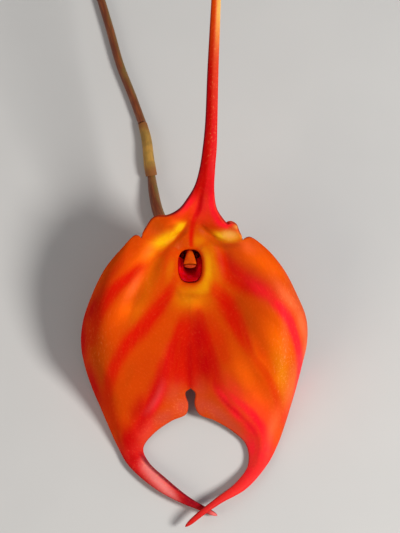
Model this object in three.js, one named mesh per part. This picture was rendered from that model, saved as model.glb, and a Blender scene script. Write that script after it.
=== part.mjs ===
// One picked masdevallia flower on its cut stalk, lying face up on a flat surface.
// Millimetres, +Z up. The three sepals are grown together into a short tube behind the
// mouth and spread in front of it; each ends in a long tail. The flower leans on the
// rolled-back rims of its two lateral sepals, and the stalk lies along the surface.
// "Left" and "right" are as seen when looking into the flower.
import * as THREE from "three";

// ---- driving dimensions -------------------------------------------------------------

const FACE_TILT = 20; // degrees between the flower's face and the surface
const MOUTH_HEIGHT = 12.1; // from the surface to the centre of the mouth
const MOUTH_PLACE = [1.47, -15.46]; // where the mouth stands, so that the box is centred

const BLADE_THICKNESS = 0.8;
const TAIL_THICKNESS = 0.6; // at a tail's edges; its rounded middle adds to this
const TAIL_BELLY = 0.35; // how far a tail's two faces bulge in the middle
const SUTURE_GAP = 0.3; // between two sepals where they are grown together
const SEAT_GAP = 0.3; // between a piece and what carries it

const TUBE_SUTURE_ANGLE = 130; // where the dorsal sepal meets the left one, round the tube
const LATERAL_COLUMNS = 12; // panels across a lateral sepal
const DORSAL_COLUMNS = 10;
const STEPS_PER_STATION = 2; // panels between two stations along a sepal

const COLUMN_SIDES = 12;
const LIP_THICKNESS = 0.6;
const PETAL_THICKNESS = 0.6;
const POLLINIUM_RADIUS = 0.12;
const POLLINIUM_SPREAD = 0.25; // from the column's middle plane to a pollinium's centre
const POLLINIUM_LIFT = 0.06; // how far the pollinia sit inside the anther cap's mouth

const OVARY_SIDES = 12; // six ribs with a groove after each
const OVARY_GROOVE = 0.07; // depth of a groove as a share of the radius
const STALK_SIDES = 10; // one side faces straight down
const BRACT_WALL = 0.2;
const BRACT_SLANT = 0.8; // how much further the bract's mouth reaches on its upper side

// ---- small helpers ------------------------------------------------------------------

const vec = (x, y, z) => new THREE.Vector3(x, y, z);
const mix = THREE.MathUtils.lerp;
const radians = THREE.MathUtils.degToRad;
const { clamp, smoothstep } = THREE.MathUtils;

/** The value at t of the parabola through three values at 0, 1/2 and 1. */
function quadratic([first, middle, last], t) {
  return 2 * first * (t - 0.5) * (t - 1) + 4 * middle * t * (1 - t) + 2 * last * t * (t - 0.5);
}

/** The value at u (0 to 1) of straight lines through evenly spaced values. */
function profile(values, u) {
  const place = clamp(u, 0, 1) * (values.length - 1);
  const i = Math.min(Math.floor(place), values.length - 2);
  return mix(values[i], values[i + 1], place - i);
}

/** Points and triangles as a closed geometry whose faces point outward. */
function solid(points, index) {
  let volume = 0;
  for (let i = 0; i < index.length; i += 3) {
    const [a, b, c] = [0, 1, 2].map((k) => points[index[i + k]]);
    volume += a.dot(b.clone().cross(c));
  }
  const geometry = new THREE.BufferGeometry().setFromPoints(points);
  geometry.setIndex(volume > 0 ? index : index.reverse());
  geometry.computeVertexNormals();
  return geometry;
}

/** A solid through rings of points, closed at both ends by strips across the ring. */
function loft(rings) {
  const count = rings[0].length;
  const half = count / 2;
  const index = [];
  for (let i = 0; i < rings.length - 1; i += 1) {
    for (let j = 0; j < count; j += 1) {
      const [a, b] = [i * count + j, i * count + ((j + 1) % count)];
      const [c, d] = [b + count, a + count];
      // both faces of a sheet are split along the same line
      if (j < half) index.push(a, b, c, a, c, d);
      else index.push(a, b, d, b, c, d);
    }
  }
  const last = (rings.length - 1) * count;
  for (let j = 0; j < half - 1; j += 1) {
    const mate = count - 1 - j;
    index.push(j, mate, j + 1, mate, mate - 1, j + 1);
    index.push(last + j, last + j + 1, last + mate, last + j + 1, last + mate - 1, last + mate);
  }
  return solid(rings.flat(), index);
}

/** A ring-shaped solid: the last ring of points joins the first round a hole. */
function loftLoop(rings) {
  const count = rings[0].length;
  const index = [];
  rings.forEach((_, i) => {
    const here = i * count;
    const there = ((i + 1) % rings.length) * count;
    for (let j = 0; j < count; j += 1) {
      const next = (j + 1) % count;
      index.push(here + j, here + next, there + next, here + j, there + next, there + j);
    }
  });
  return solid(rings.flat(), index);
}

/** Points round an oval section that stands across the direction `along`. */
function section(centre, along, up, halfWidth, halfHeight, sides, reach = () => [1, 0]) {
  const side = along.clone().cross(up).normalize();
  const lift = side.clone().cross(along).normalize();
  const flat = 1 / Math.cos(Math.PI / sides); // the sides' middles lie on the oval
  return Array.from({ length: sides }, (_, k) => {
    const angle = -Math.PI / 2 + ((k + 0.5) * 2 * Math.PI) / sides;
    const [scale, ahead] = reach(k, angle);
    return centre.clone()
      .addScaledVector(side, halfWidth * flat * scale * Math.cos(angle))
      .addScaledVector(lift, halfHeight * flat * scale * Math.sin(angle))
      .addScaledVector(along, ahead);
  });
}

/** Sections along a smooth curve through `points`; sizes gives [halfWidth, halfHeight]. */
function sweep(points, sizes, { steps, sides, up = vec(0, 0, 1), reach }) {
  const curve = new THREE.CatmullRomCurve3(points, false, "centripetal");
  return Array.from({ length: steps + 1 }, (_, i) => {
    const u = i / steps;
    const [halfWidth, halfHeight] = sizes(u);
    const along = curve.getTangent(u);
    const round = reach ? (k, angle) => reach(k, angle, u) : undefined;
    return section(curve.getPoint(u), along, up, halfWidth, halfHeight, sides, round);
  });
}

/** A finished sub-part: a named mesh with a surface of its own. */
function piece(name, geometry, color, roughness) {
  const material = new THREE.MeshStandardMaterial({ color, roughness, metalness: 0 });
  const mesh = new THREE.Mesh(geometry, material);
  mesh.name = name;
  return mesh;
}

// ---- the sepals' stations -----------------------------------------------------------
// The flower's own frame has its origin at the centre of the mouth, x to the right, y
// towards the dorsal tail and z out of the face. A sepal's front surface is a skin over
// stations that run from the back of the tube to the tip of the tail, and each station
// gives the points across the sepal for t from 0 to 1.

// The tube from the ovary to the mouth, and the first ring of the face round the mouth.
// A squareness of 1 is an oval; lower ones are fuller in the corners.
const TUBE = [
  { centre: [-1.5, 2.5, -9.8], half: [1.4, 1.4], squareness: 1 },
  { centre: [-0.8, 1.2, -7.5], half: [2.5, 3.0], squareness: 1 },
  { centre: [-0.2, 0.3, -4.0], half: [2.45, 3.25], squareness: 0.9 },
  { centre: [0, 0, -1.3], half: [2.05, 2.9], squareness: 0.75 },
  { centre: [0, 0, -0.2], half: [2.2, 3.1], squareness: 0.75 },
  { centre: [0, -0.2, 0], half: [4.0, 4.5], squareness: 0.95 },
];
const RING_RISE = 0.5; // how far the ring's two upper corners stand forward

// The depths of a lateral sepal at its valley, crest and rim, with the outward bow of the
// station and the place of the crest between the inner edge (0) and the outer one (1).
const LATERAL_FORM = [
  { depth: [0.15, 0.15, 0.9], bow: 3.0, crestAt: 0.55 },
  { depth: [0.3, 0.7, 2.2], bow: 4.0, crestAt: 0.55 },
  { depth: [0.35, 1.6, 2.1], bow: 5.0, crestAt: 0.62 },
  { depth: [0.35, 2.5, 1.2], bow: 5.4, crestAt: 0.7 },
  { depth: [0.3, 3.15, 0.0], bow: 5.0, crestAt: 0.72 },
  { depth: [0.1, 3.4, -1.6], bow: 4.2, crestAt: 0.7 },
  { depth: [-0.18, 3.25, -3.0], bow: 3.3, crestAt: 0.67 },
  { depth: [-0.3, 3.07, -4.0], bow: 2.5, crestAt: 0.66 },
  { depth: [-0.7, 2.55, -4.6], bow: 1.6, crestAt: 0.65 },
  { depth: [-1.0, 2.0, -4.6], bow: 0.8, crestAt: 0.65 },
  { depth: [-1.15, 1.35, -3.6], bow: 0.3, crestAt: 0.65 },
  { depth: [-0.9, 0.9, -2.4], bow: 0, crestAt: 0.6 },
  { depth: [-0.3, 0.8, -1.1], bow: 0, crestAt: 0.55 },
  { depth: [0.9, 1.3, 0.8], bow: 0, crestAt: 0.5 },
  { depth: [2.5, 2.8, 2.5], bow: 0, crestAt: 0.5 },
  { depth: [3.6, 3.7, 3.6], bow: 0, crestAt: 0.5 },
  { depth: [4.0, 4.1, 4.0], bow: 0, crestAt: 0.5 },
  { depth: [4.2, 4.3, 4.2], bow: 0, crestAt: 0.5 },
];
const RIGHT_TAIL_FORWARD = [0.3, 1.1, 1.8, 1.8]; // the right tail crosses over the left one

// Inner and outer edge of each lateral sepal. The inner one follows the seam between the
// two down to the cleft, then the hooked tail; the outer one leaves the dorsal sepal at
// the second station.
const LEFT_EDGES = [
  [[0.1, -7.0], [-5.6, 4.1]],
  [[0.1, -10.0], [-8.3, 4.8]],
  [[0.1, -13.0], [-9.6, 5.4]],
  [[0.1, -15.5], [-12.0, 3.2]],
  [[0.1, -17.5], [-14.9, -0.3]],
  [[0.1, -19.5], [-17.3, -5.0]],
  [[0.1, -21.3], [-18.9, -9.6]],
  [[-0.75, -22.3], [-19.3, -13.6]],
  [[-0.25, -24.4], [-18.7, -17.4]],
  [[-0.7, -26.1], [-17.4, -21.4]],
  [[-3.3, -27.3], [-15.8, -25.0]],
  [[-6.2, -29.3], [-14.4, -28.2]],
  [[-8.1, -31.8], [-12.8, -31.6]],
  [[-7.2, -34.1], [-10.8, -34.9]],
  [[-4.2, -36.9], [-6.0, -38.9]],
  [[-0.6, -39.8], [-1.6, -41.2]],
  [[2.0, -41.4], [1.5, -42.4]],
  [[4.9, -42.9], [4.6, -43.7]],
];
const RIGHT_EDGES = [
  [[0.1, -7.0], [5.8, 3.9]],
  [[0.1, -10.0], [9.0, 4.5]],
  [[0.1, -13.0], [10.5, 5.1]],
  [[0.1, -15.5], [13.2, 3.4]],
  [[0.1, -17.5], [16.3, -0.2]],
  [[0.1, -19.5], [18.6, -4.6]],
  [[0.1, -21.3], [20.3, -9.2]],
  [[0.85, -22.3], [20.6, -13.4]],
  [[0.75, -24.3], [19.8, -17.6]],
  [[1.6, -26.1], [18.8, -21.5]],
  [[4.3, -27.2], [17.7, -25.0]],
  [[7.7, -29.2], [16.6, -28.4]],
  [[9.8, -31.3], [15.4, -31.5]],
  [[10.1, -34.6], [13.6, -34.7]],
  [[8.0, -37.6], [9.8, -38.8]],
  [[4.5, -40.2], [5.4, -41.2]],
  [[1.7, -42.3], [2.6, -43.0]],
  [[-1.1, -44.8], [-0.5, -45.4]],
];

// The dorsal sepal in front of the mouth, from its left edge over the midrib to its right
// edge. The wings' stations have a point between the midrib and each edge as well, so that
// they meet the wings' level upper margins squarely.
const DORSAL_FORM = [
  [[-5.6, 4.1, 0.9], [-3.0, 5.0, 0.6], [0.2, 5.5, 0.35], [3.3, 4.9, 0.6], [5.8, 3.9, 0.9]],
  [[-8.3, 4.8, 2.2], [-4.3, 5.5, 1.3], [0.3, 6.3, 0.6], [4.7, 5.1, 1.1], [9.0, 4.5, 2.2]],
  [[-7.4, 7.0, 2.6], [-4.3, 6.5, 1.6], [0.4, 7.0, 0.9], [5.0, 5.8, 1.3], [8.45, 6.1, 2.4]],
  [[-6.2, 8.4, 2.8], [-3.8, 7.4, 1.9], [0.5, 7.7, 1.3], [4.9, 6.4, 1.6], [7.95, 7.2, 2.6]],
  [[-4.2, 8.5, 2.8], [-2.7, 8.1, 2.2], [0.7, 8.4, 1.7], [4.4, 7.0, 2.0], [6.6, 7.1, 2.5]],
  [[-1.9, 9.75, 3.0], [-0.9, 9.3, 2.6], [1.0, 9.5, 2.3], [3.9, 8.3, 2.5], [5.8, 7.75, 2.8]],
  [[-0.5, 11.45, 3.6], [0.2, 11.1, 3.3], [1.5, 11.1, 3.2], [3.4, 10.2, 3.4], [4.65, 9.8, 3.5]],
  [[0.8, 14.0, 4.1], [2.3, 13.7, 4.2], [4.25, 13.0, 4.1]],
  [[1.6, 16.8, 4.6], [3.0, 16.7, 4.8], [4.4, 16.6, 4.6]],
  [[2.2, 20.6, 4.8], [3.45, 20.6, 4.9], [4.7, 20.6, 4.8]],
  [[2.6, 24.7, 4.9], [3.7, 24.7, 5.0], [4.8, 24.7, 4.9]],
  [[3.0, 34.1, 4.6], [4.0, 34.1, 4.7], [5.0, 34.1, 4.6]],
  [[3.7, 46.6, 2.9], [4.55, 46.6, 3.0], [5.4, 46.6, 2.9]],
  [[4.3, 57.0, 0.4], [4.9, 57.0, 0.5], [5.5, 57.0, 0.4]],
  [[4.75, 64.0, -1.6], [5.0, 64.0, -1.5], [5.25, 64.0, -1.6]],
];

const CLIMB_POWER = 1.3; // above 1, the valley by a lateral sepal's inner edge is broader
const ROLL_STEEPNESS = 0.92; // nearer 1, a lateral sepal's rim turns back more sharply

const SINUS = TUBE.length + 1; // the station where the dorsal and lateral edges part
const CLEFT = TUBE.length + 6; // the station where the two lateral sepals part
const LATERAL_TAIL = TUBE.length + 14; // the station where a lateral sepal is all tail
const DORSAL_TAIL = TUBE.length + 8;
const CUT_TURNS = [3, 5]; // a suture's cut turns from the tube's side to behind the face

/** The tube's stations for the sepal between two angles round it. */
function tubeRows(from, to, ringRise) {
  return TUBE.map(({ centre, half, squareness }, i) => (t) => {
    const angle = radians(mix(from, to, t));
    const rise = i === TUBE.length - 1 ? quadratic(ringRise, t) : 0;
    const full = (value) => Math.sign(value) * Math.abs(value) ** squareness;
    const [x, y] = [half[0] * full(Math.cos(angle)), half[1] * full(Math.sin(angle))];
    return vec(centre[0] + x, centre[1] + y, centre[2] + rise);
  });
}

/** 0 to 1 along a quarter of an oval: level at first, steep at the end. */
function rolled(u) {
  const drop = (x) => 1 - Math.sqrt(1 - ROLL_STEEPNESS * x * x);
  return drop(u) / drop(1);
}

/** A station from a lateral sepal's inner edge over its crest to its rolled-back rim. */
function lateralRow([inner, outer], { depth: [valley, crest, rim], bow, crestAt }, forward) {
  const chord = vec(outer[0] - inner[0], outer[1] - inner[1], 0);
  const outward = vec(chord.y, -chord.x, 0).normalize().multiplyScalar(Math.sign(chord.x));
  return (t) => {
    const climb = Math.sin((Math.PI / 2) * Math.min(1, t / crestAt)) ** CLIMB_POWER;
    const past = Math.max(0, (t - crestAt) / (1 - crestAt));
    const roll = rim < crest ? rolled(past) : past * past;
    const z = mix(valley, crest, climb) + (rim - crest) * roll + forward;
    const push = bow * 4 * t * (1 - t);
    return vec(mix(inner[0], outer[0], t), mix(inner[1], outer[1], t), z)
      .addScaledVector(outward, push);
  };
}

/** All stations of a lateral sepal; `side` is -1 on the left and 1 on the right. */
function lateralRows(side, edges) {
  const top = side < 0 ? TUBE_SUTURE_ANGLE - 360 : 180 - TUBE_SUTURE_ANGLE;
  const tube = tubeRows(-90, top, [0, RING_RISE / 4, RING_RISE]);
  const firstForward = edges.length - RIGHT_TAIL_FORWARD.length;
  const blade = edges.map((edge, i) => {
    const forward = side < 0 ? 0 : RIGHT_TAIL_FORWARD[i - firstForward] ?? 0;
    return lateralRow(edge, LATERAL_FORM[i], forward);
  });
  return [...tube, ...blade];
}

/** All stations of the dorsal sepal, from left to right across it. */
function dorsalRows() {
  const rise = [RING_RISE, RING_RISE / 4, RING_RISE];
  const tube = tubeRows(TUBE_SUTURE_ANGLE, 180 - TUBE_SUTURE_ANGLE, rise);
  const blade = DORSAL_FORM.map((points) => {
    const across = new THREE.CatmullRomCurve3(points.map((at) => vec(...at)));
    return (t) => across.getPoint(t);
  });
  return [...tube, ...blade];
}

// ---- a sepal as a solid -------------------------------------------------------------

/** The front surface: a point for any place s along the stations and t across them. */
function surfaceOver(rows) {
  return (s, t) => {
    const points = rows.map((row) => row(t));
    const curve = new THREE.CatmullRomCurve3(points, false, "centripetal");
    return curve.getPoint(clamp(s / (rows.length - 1), 0, 1));
  };
}

/** Which way a suture's cut face runs back: out from the tube, then behind the face. */
function sutureDirection(along, s, angle) {
  const onFace = clamp(THREE.MathUtils.inverseLerp(...CUT_TURNS, s), 0, 1);
  const out = vec(Math.cos(radians(angle)), Math.sin(radians(angle)), 0);
  const direction = out.lerp(vec(0, 0, -1), onFace);
  return direction.addScaledVector(along, -direction.dot(along)).normalize();
}

/**
 * A thick closed sheet behind a sepal's front surface, rounded where it is a tail.
 * `sutures` gives, for the first and the last edge, the angle round the tube and the
 * station up to which the sepal is grown to its neighbour there.
 */
function sepal(rows, { facing, columns, tailFrom, sutures }) {
  const surface = surfaceOver(rows);
  const steps = (rows.length - 1) * STEPS_PER_STATION;
  const nudge = 0.01;
  const edgeShare = 0.2; // the part of the width over which the thickness turns to the cut
  const rings = Array.from({ length: steps + 1 }, (_, i) => {
    const s = i / STEPS_PER_STATION;
    const width = surface(s, 0).distanceTo(surface(s, 1));
    const tail = smoothstep(s, tailFrom - 2, tailFrom);
    const thickness = mix(BLADE_THICKNESS, TAIL_THICKNESS, tail);
    const grown = sutures.map(({ until }) => 1 - smoothstep(s, until, until + 1));
    const inset = grown.map((share) => (share * SUTURE_GAP) / 2 / width);
    const front = [];
    const back = [];
    for (let j = 0; j <= columns; j += 1) {
      const place = j / columns;
      const t = mix(inset[0], 1 - inset[1], place);
      const along = surface(s + nudge, t).sub(surface(s - nudge, t)).normalize();
      const across = surface(s, Math.min(1, t + nudge)).sub(surface(s, Math.max(0, t - nudge)));
      const inward = along.clone().cross(across).normalize().multiplyScalar(facing);
      [place, 1 - place].forEach((distance, edge) => {
        const share = grown[edge] * clamp(1 - distance / edgeShare, 0, 1);
        if (share > 0) inward.lerp(sutureDirection(along, s, sutures[edge].angle), share);
      });
      inward.normalize();
      const belly = tail * TAIL_BELLY * Math.sqrt(1 - (2 * place - 1) ** 2);
      const point = surface(s, t);
      front.push(point.clone().addScaledVector(inward, -belly));
      back.push(point.addScaledVector(inward, thickness + belly));
    }
    return [...front, ...back.reverse()];
  });
  return loft(rings);
}

const FLAME = "#d8380f"; // the sepals' red-orange

function lateralSepal(name, side, edges) {
  const top = side < 0 ? TUBE_SUTURE_ANGLE : 180 - TUBE_SUTURE_ANGLE;
  const geometry = sepal(lateralRows(side, edges), {
    facing: -side,
    columns: LATERAL_COLUMNS,
    tailFrom: LATERAL_TAIL,
    sutures: [{ angle: -90, until: CLEFT }, { angle: top, until: SINUS }],
  });
  return piece(name, geometry, FLAME, 0.42);
}

function dorsalSepal() {
  const geometry = sepal(dorsalRows(), {
    facing: 1,
    columns: DORSAL_COLUMNS,
    tailFrom: DORSAL_TAIL,
    sutures: [
      { angle: TUBE_SUTURE_ANGLE, until: SINUS },
      { angle: 180 - TUBE_SUTURE_ANGLE, until: SINUS },
    ],
  });
  return piece("dorsal_sepal", geometry, "#dd4a12", 0.42);
}

// ---- the parts inside the tube ------------------------------------------------------

const UP_THE_FACE = vec(0, 1, 0);

// The column runs along the tube's roof and comes down to its tip in the mouth.
const COLUMN_PATH = [
  [-1.58, 2.62, -10.2], [-0.9, 2.6, -7.5], [-0.3, 2.4, -4.4], [-0.05, 2.2, -2.6],
  [0, 1.75, -1.35], [0, 0.35, -1.0],
];
const COLUMN_HALF_WIDTHS = [0.8, 0.55, 0.42, 0.4, 0.65, 1.1];
const COLUMN_HALF_HEIGHTS = [0.75, 0.6, 0.5, 0.45, 0.4, 0.36];

function column() {
  const points = COLUMN_PATH.map((at) => vec(...at));
  const sizes = (u) => [profile(COLUMN_HALF_WIDTHS, u), profile(COLUMN_HALF_HEIGHTS, u)];
  const rings = sweep(points, sizes, { steps: 12, sides: COLUMN_SIDES, up: UP_THE_FACE });
  return piece("column", loft(rings), "#d9772a", 0.45);
}

// The anther cap is a small cup turned over the column's tip, with two pollinia under it.
const CAP_SIZE = [1.04, 0.36, 0.45]; // half width, half height and depth
const CAP_WALL_SHARE = 0.62; // the hollow's size as a share of the cap's
const COLUMN_TIP = vec(...COLUMN_PATH.at(-1));
const TIP_DIRECTION = COLUMN_TIP.clone().sub(vec(...COLUMN_PATH.at(-2))).normalize();

/** A frame at the column's tip whose z axis runs on out of the tip. */
function tipFrame(distance) {
  const side = vec(1, 0, 0);
  const lift = TIP_DIRECTION.clone().cross(side).normalize();
  const place = COLUMN_TIP.clone().addScaledVector(TIP_DIRECTION, distance);
  return new THREE.Matrix4().makeBasis(side, lift, TIP_DIRECTION).setPosition(place);
}

function antherCap() {
  const dome = (share, from, to) => Array.from({ length: 5 }, (_, i) => {
    const angle = mix(from, to, i / 4);
    return new THREE.Vector2(share * Math.cos(angle), share * Math.sin(angle));
  });
  const outside = dome(1, Math.PI / 2, 0);
  const inside = dome(CAP_WALL_SHARE, 0, Math.PI / 2);
  outside[0].x = 0;
  inside.at(-1).x = 0;
  const cup = new THREE.LatheGeometry([...outside, ...inside].reverse(), COLUMN_SIDES);
  cup.rotateX(Math.PI / 2);
  cup.scale(...CAP_SIZE);
  cup.applyMatrix4(tipFrame(SEAT_GAP));
  return piece("anther_cap", cup, "#e08a4a", 0.4);
}

function pollinium(name, side) {
  const grain = new THREE.SphereGeometry(POLLINIUM_RADIUS, 8, 6);
  grain.scale(1.3, 0.9, 1);
  grain.translate(side * POLLINIUM_SPREAD, 0, 0);
  grain.applyMatrix4(tipFrame(SEAT_GAP + POLLINIUM_LIFT));
  return piece(name, grain, "#e8c860", 0.5);
}

// The lip is a trough under the column: a rounded floor between two upright walls. Its
// front edge leans back: its keel, half width, and the heights of its floor's curve and of
// the straight walls above it.
const LIP_KEEL = [
  [-0.95, 0.45, -8.4], [-0.5, -0.3, -6.2], [-0.18, -0.9, -4.4], [-0.03, -1.45, -2.8],
  [0, -2.4, -0.85],
];
const LIP_HALF_WIDTHS = [0.5, 0.9, 1.15, 1.32, 1.42];
const LIP_CURVES = [0.35, 0.7, 1.2, 1.7, 2.1];
const LIP_WALLS = [0, 0.1, 0.4, 0.9, 1.3];
const LIP_WALL_SHARE = 0.3; // the part of each half of a section that is straight wall
const LIP_SQUARENESS = 0.8;
const LIP_SLANT = 0.42; // how far the front edge leans back for each mm of height

function lip() {
  const keel = new THREE.CatmullRomCurve3(LIP_KEEL.map((at) => vec(...at)));
  const steps = 10;
  const columns = 14;
  const rings = Array.from({ length: steps + 1 }, (_, i) => {
    const u = i / steps;
    const at = keel.getPoint(u);
    const [width, curve, wall] = [LIP_HALF_WIDTHS, LIP_CURVES, LIP_WALLS]
      .map((values) => profile(values, u));
    const row = (offset) => Array.from({ length: columns + 1 }, (_unused, j) => {
      const across = (2 * j) / columns - 1;
      const turn = (Math.PI / 2) * Math.min(1, Math.abs(across) / (1 - LIP_WALL_SHARE));
      const up = Math.max(0, (Math.abs(across) - 1 + LIP_WALL_SHARE) / LIP_WALL_SHARE);
      const x = (width + offset) * Math.sin(turn) ** LIP_SQUARENESS * Math.sign(across);
      const drop = Math.max(0, Math.cos(turn)) ** LIP_SQUARENESS;
      const rise = curve - (curve + offset) * drop + wall * up;
      return vec(at.x + x, at.y + rise, at.z - LIP_SLANT * rise);
    });
    return [...row(-LIP_THICKNESS / 2), ...row(LIP_THICKNESS / 2).reverse()];
  });
  return piece("lip", loft(rings), "#a80a10", 0.35);
}

// The petals are two narrow straps on either side of the column, above the lip's margins.
const PETAL_PATH = [[1.3, 2.1, -8.6], [1.5, 1.9, -6.4], [1.5, 2.0, -4.8], [1.25, 2.0, -3.4]];
const PETAL_LEAN = [-1.15, -0.55, -0.25, -0.05]; // follows the tube's bend to the left
const PETAL_HALF_WIDTHS = [0.4, 0.6, 0.6, 0.45];

function petal(name, side) {
  const points = PETAL_PATH.map(([x, y, z], i) => vec(side * x + PETAL_LEAN[i], y, z));
  const sizes = (u) => [PETAL_THICKNESS / 2, profile(PETAL_HALF_WIDTHS, u)];
  const rings = sweep(points, sizes, { steps: 9, sides: 8, up: UP_THE_FACE });
  return piece(name, loft(rings), "#c8501c", 0.45);
}

// ---- the bloom ----------------------------------------------------------------------

const bloom = new THREE.Group();
bloom.rotation.x = radians(FACE_TILT);
bloom.position.z = MOUTH_HEIGHT;
bloom.add(
  dorsalSepal(),
  lateralSepal("lateral_sepal_left", -1, LEFT_EDGES),
  lateralSepal("lateral_sepal_right", 1, RIGHT_EDGES),
  petal("petal_left", -1),
  petal("petal_right", 1),
  lip(),
  column(),
  antherCap(),
  pollinium("pollinium_left", -1),
  pollinium("pollinium_right", 1),
);

// ---- the stalk ----------------------------------------------------------------------
// Its points are given where it lies: x and y from below the mouth, z from the surface.

/** A point of the flower's frame where the flower lies. */
const lying = (x, y, z) => vec(x, y, z).applyEuler(bloom.rotation).add(bloom.position);

const OVARY_PATH = [
  lying(-1.55, 2.6, -10.75), lying(-1.7, 2.8, -11.2), lying(-2.6, 4.0, -12.2),
  lying(-4.3, 6.3, -13.2),
];
const OVARY_RADII = [1.8, 1.35, 1.3, 1.35, 1.3, 1.2, 1.0];
const BRACT_PATH = [
  vec(-7.1, 21.8, 1.08), vec(-7.5, 24.3, 1.08), vec(-7.95, 28.4, 0.97), vec(-8.7, 31.6, 0.87),
];
const BRACT_RADII = [1.04, 1.04, 0.95, 0.9, 0.82];
const PEDICEL_PATH = [
  lying(-4.6, 6.7, -13.4), vec(-5.9, 14.4, 2.0), vec(-6.7, 18.6, 1.32), ...BRACT_PATH,
];
const PEDICEL_RADII = [1.05, 1.0, 0.9, 0.68, 0.6, 0.5, 0.42];
const PEDUNCLE_RADIUS = 0.74;
const PEDUNCLE_PATH = [
  [-8.8, 31.9], [-10.6, 37.1], [-12.95, 43.5], [-14.7, 50.0], [-16.4, 56.0], [-18.3, 62.2],
  [-20.4, 68.8], [-22.81, 75.47],
].map(([x, y]) => vec(x, y, PEDUNCLE_RADIUS));

function ovary() {
  const sizes = (u) => Array(2).fill(profile(OVARY_RADII, u));
  const reach = (k, _angle, u) => [1 - (k % 2) * OVARY_GROOVE * smoothstep(u, 0.05, 0.3), 0];
  const rings = sweep(OVARY_PATH, sizes, { steps: 12, sides: OVARY_SIDES, reach });
  return piece("ovary", loft(rings), "#7d5a22", 0.5);
}

function pedicel() {
  const sizes = (u) => Array(2).fill(profile(PEDICEL_RADII, u));
  const rings = sweep(PEDICEL_PATH, sizes, { steps: 20, sides: STALK_SIDES });
  return piece("pedicel", loft(rings), "#6e3c18", 0.5);
}

/** The bract is a sheath round the pedicel's foot, open at both ends. */
function floralBract() {
  const rows = (inset, slant) => {
    const sizes = (u) => Array(2).fill(profile(BRACT_RADII, u) - inset);
    const reach = (_k, angle, u) => [1, u > 0 ? 0 : -slant * (1 + Math.sin(angle)) / 2];
    return sweep(BRACT_PATH, sizes, { steps: 8, sides: STALK_SIDES, reach });
  };
  const rings = [...rows(0, BRACT_SLANT), ...rows(BRACT_WALL, BRACT_SLANT).reverse()];
  return piece("floral_bract", loftLoop(rings), "#a8873a", 0.6);
}

function peduncle() {
  const sizes = () => [PEDUNCLE_RADIUS, PEDUNCLE_RADIUS];
  const rings = sweep(PEDUNCLE_PATH, sizes, { steps: 16, sides: STALK_SIDES });
  return piece("peduncle", loft(rings), "#6b3416", 0.5);
}

// ---- the whole ----------------------------------------------------------------------

const masdevallia = new THREE.Group();
masdevallia.position.set(MOUTH_PLACE[0], MOUTH_PLACE[1], 0);
masdevallia.add(bloom, ovary(), pedicel(), floralBract(), peduncle());

export default masdevallia;
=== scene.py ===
"""One picked masdevallia flower on its cut stalk, lying face up on a pale surface.

The forms below are worked in millimetres and turned to metres when a mesh is made.
"Left" and "right" are as seen when looking into the flower.
"""

import math

import bpy
import numpy as np
from mathutils import Matrix, Vector


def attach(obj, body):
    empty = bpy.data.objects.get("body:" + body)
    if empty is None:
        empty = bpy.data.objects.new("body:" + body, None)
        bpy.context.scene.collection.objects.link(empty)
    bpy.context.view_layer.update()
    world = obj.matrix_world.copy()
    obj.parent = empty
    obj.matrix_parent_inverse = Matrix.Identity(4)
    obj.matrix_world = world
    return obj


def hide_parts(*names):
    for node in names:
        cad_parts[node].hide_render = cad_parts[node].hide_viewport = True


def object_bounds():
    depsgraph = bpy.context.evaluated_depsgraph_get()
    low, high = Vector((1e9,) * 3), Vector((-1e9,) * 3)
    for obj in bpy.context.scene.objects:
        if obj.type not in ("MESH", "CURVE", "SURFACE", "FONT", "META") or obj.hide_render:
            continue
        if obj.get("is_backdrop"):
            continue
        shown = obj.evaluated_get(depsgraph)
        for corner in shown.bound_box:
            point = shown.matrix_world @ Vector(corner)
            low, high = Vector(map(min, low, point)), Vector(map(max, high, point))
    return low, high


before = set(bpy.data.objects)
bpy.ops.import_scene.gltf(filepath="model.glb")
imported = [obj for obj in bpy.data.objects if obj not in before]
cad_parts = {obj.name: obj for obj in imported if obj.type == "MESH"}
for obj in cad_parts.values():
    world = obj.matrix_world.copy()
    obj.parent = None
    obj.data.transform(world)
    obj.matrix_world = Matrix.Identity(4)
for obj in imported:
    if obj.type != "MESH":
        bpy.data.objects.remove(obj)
CAD_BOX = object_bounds()

MM = 0.001

# ---- driving dimensions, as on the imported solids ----

FACE_TILT = 20  # degrees between the flower's face and the surface
MOUTH = (1.47, -15.46, 12.1)  # where the centre of the mouth stands

BLADE_THICKNESS = 0.8
TAIL_THICKNESS = 0.6
TAIL_BELLY = 0.35
SEAT_GAP = 0.3
TUBE_SUTURE_ANGLE = 130
RING_RISE = 0.5
CLIMB_POWER = 1.3
ROLL_STEEPNESS = 0.92
CUT_TURNS = (3, 5)

# How finely the meshes are made.
STEPS_PER_STATION = 11
COLUMNS = 96  # across the middle of a sepal, apart from its rounded margins
MARGIN_PLACES = (0, 0.002, 0.006, 0.012, 0.02, 0.03, 0.045)
MARGIN_TIP = 0.06  # what is left of the thickness at the very margin
ROUND_SIDES = 40
NUDGE = 1e-3  # how far before and behind a place a curve's direction is taken
PATH_POINTS = 60  # on each path of the drawing
SHARP_ANGLE = 50  # degrees between faces from which an edge looks sharp

# ---- small helpers ----


def array(*values):
    return np.array(values, dtype=float)


def unit(vectors):
    return vectors / np.linalg.norm(vectors, axis=-1, keepdims=True)


def dot(a, b):
    return np.sum(a * b, axis=-1, keepdims=True)


def mix(a, b, share):
    return a + (b - a) * share


def smoothstep(low, high, x):
    u = np.clip((np.asarray(x, float) - low) / (high - low), 0, 1)
    return u * u * (3 - 2 * u)


def bell(distance, width, power=2):
    """1 at a distance of 0, falling softly to nothing at about twice the width."""
    return np.exp(-(np.abs(distance / width) ** power))


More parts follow.
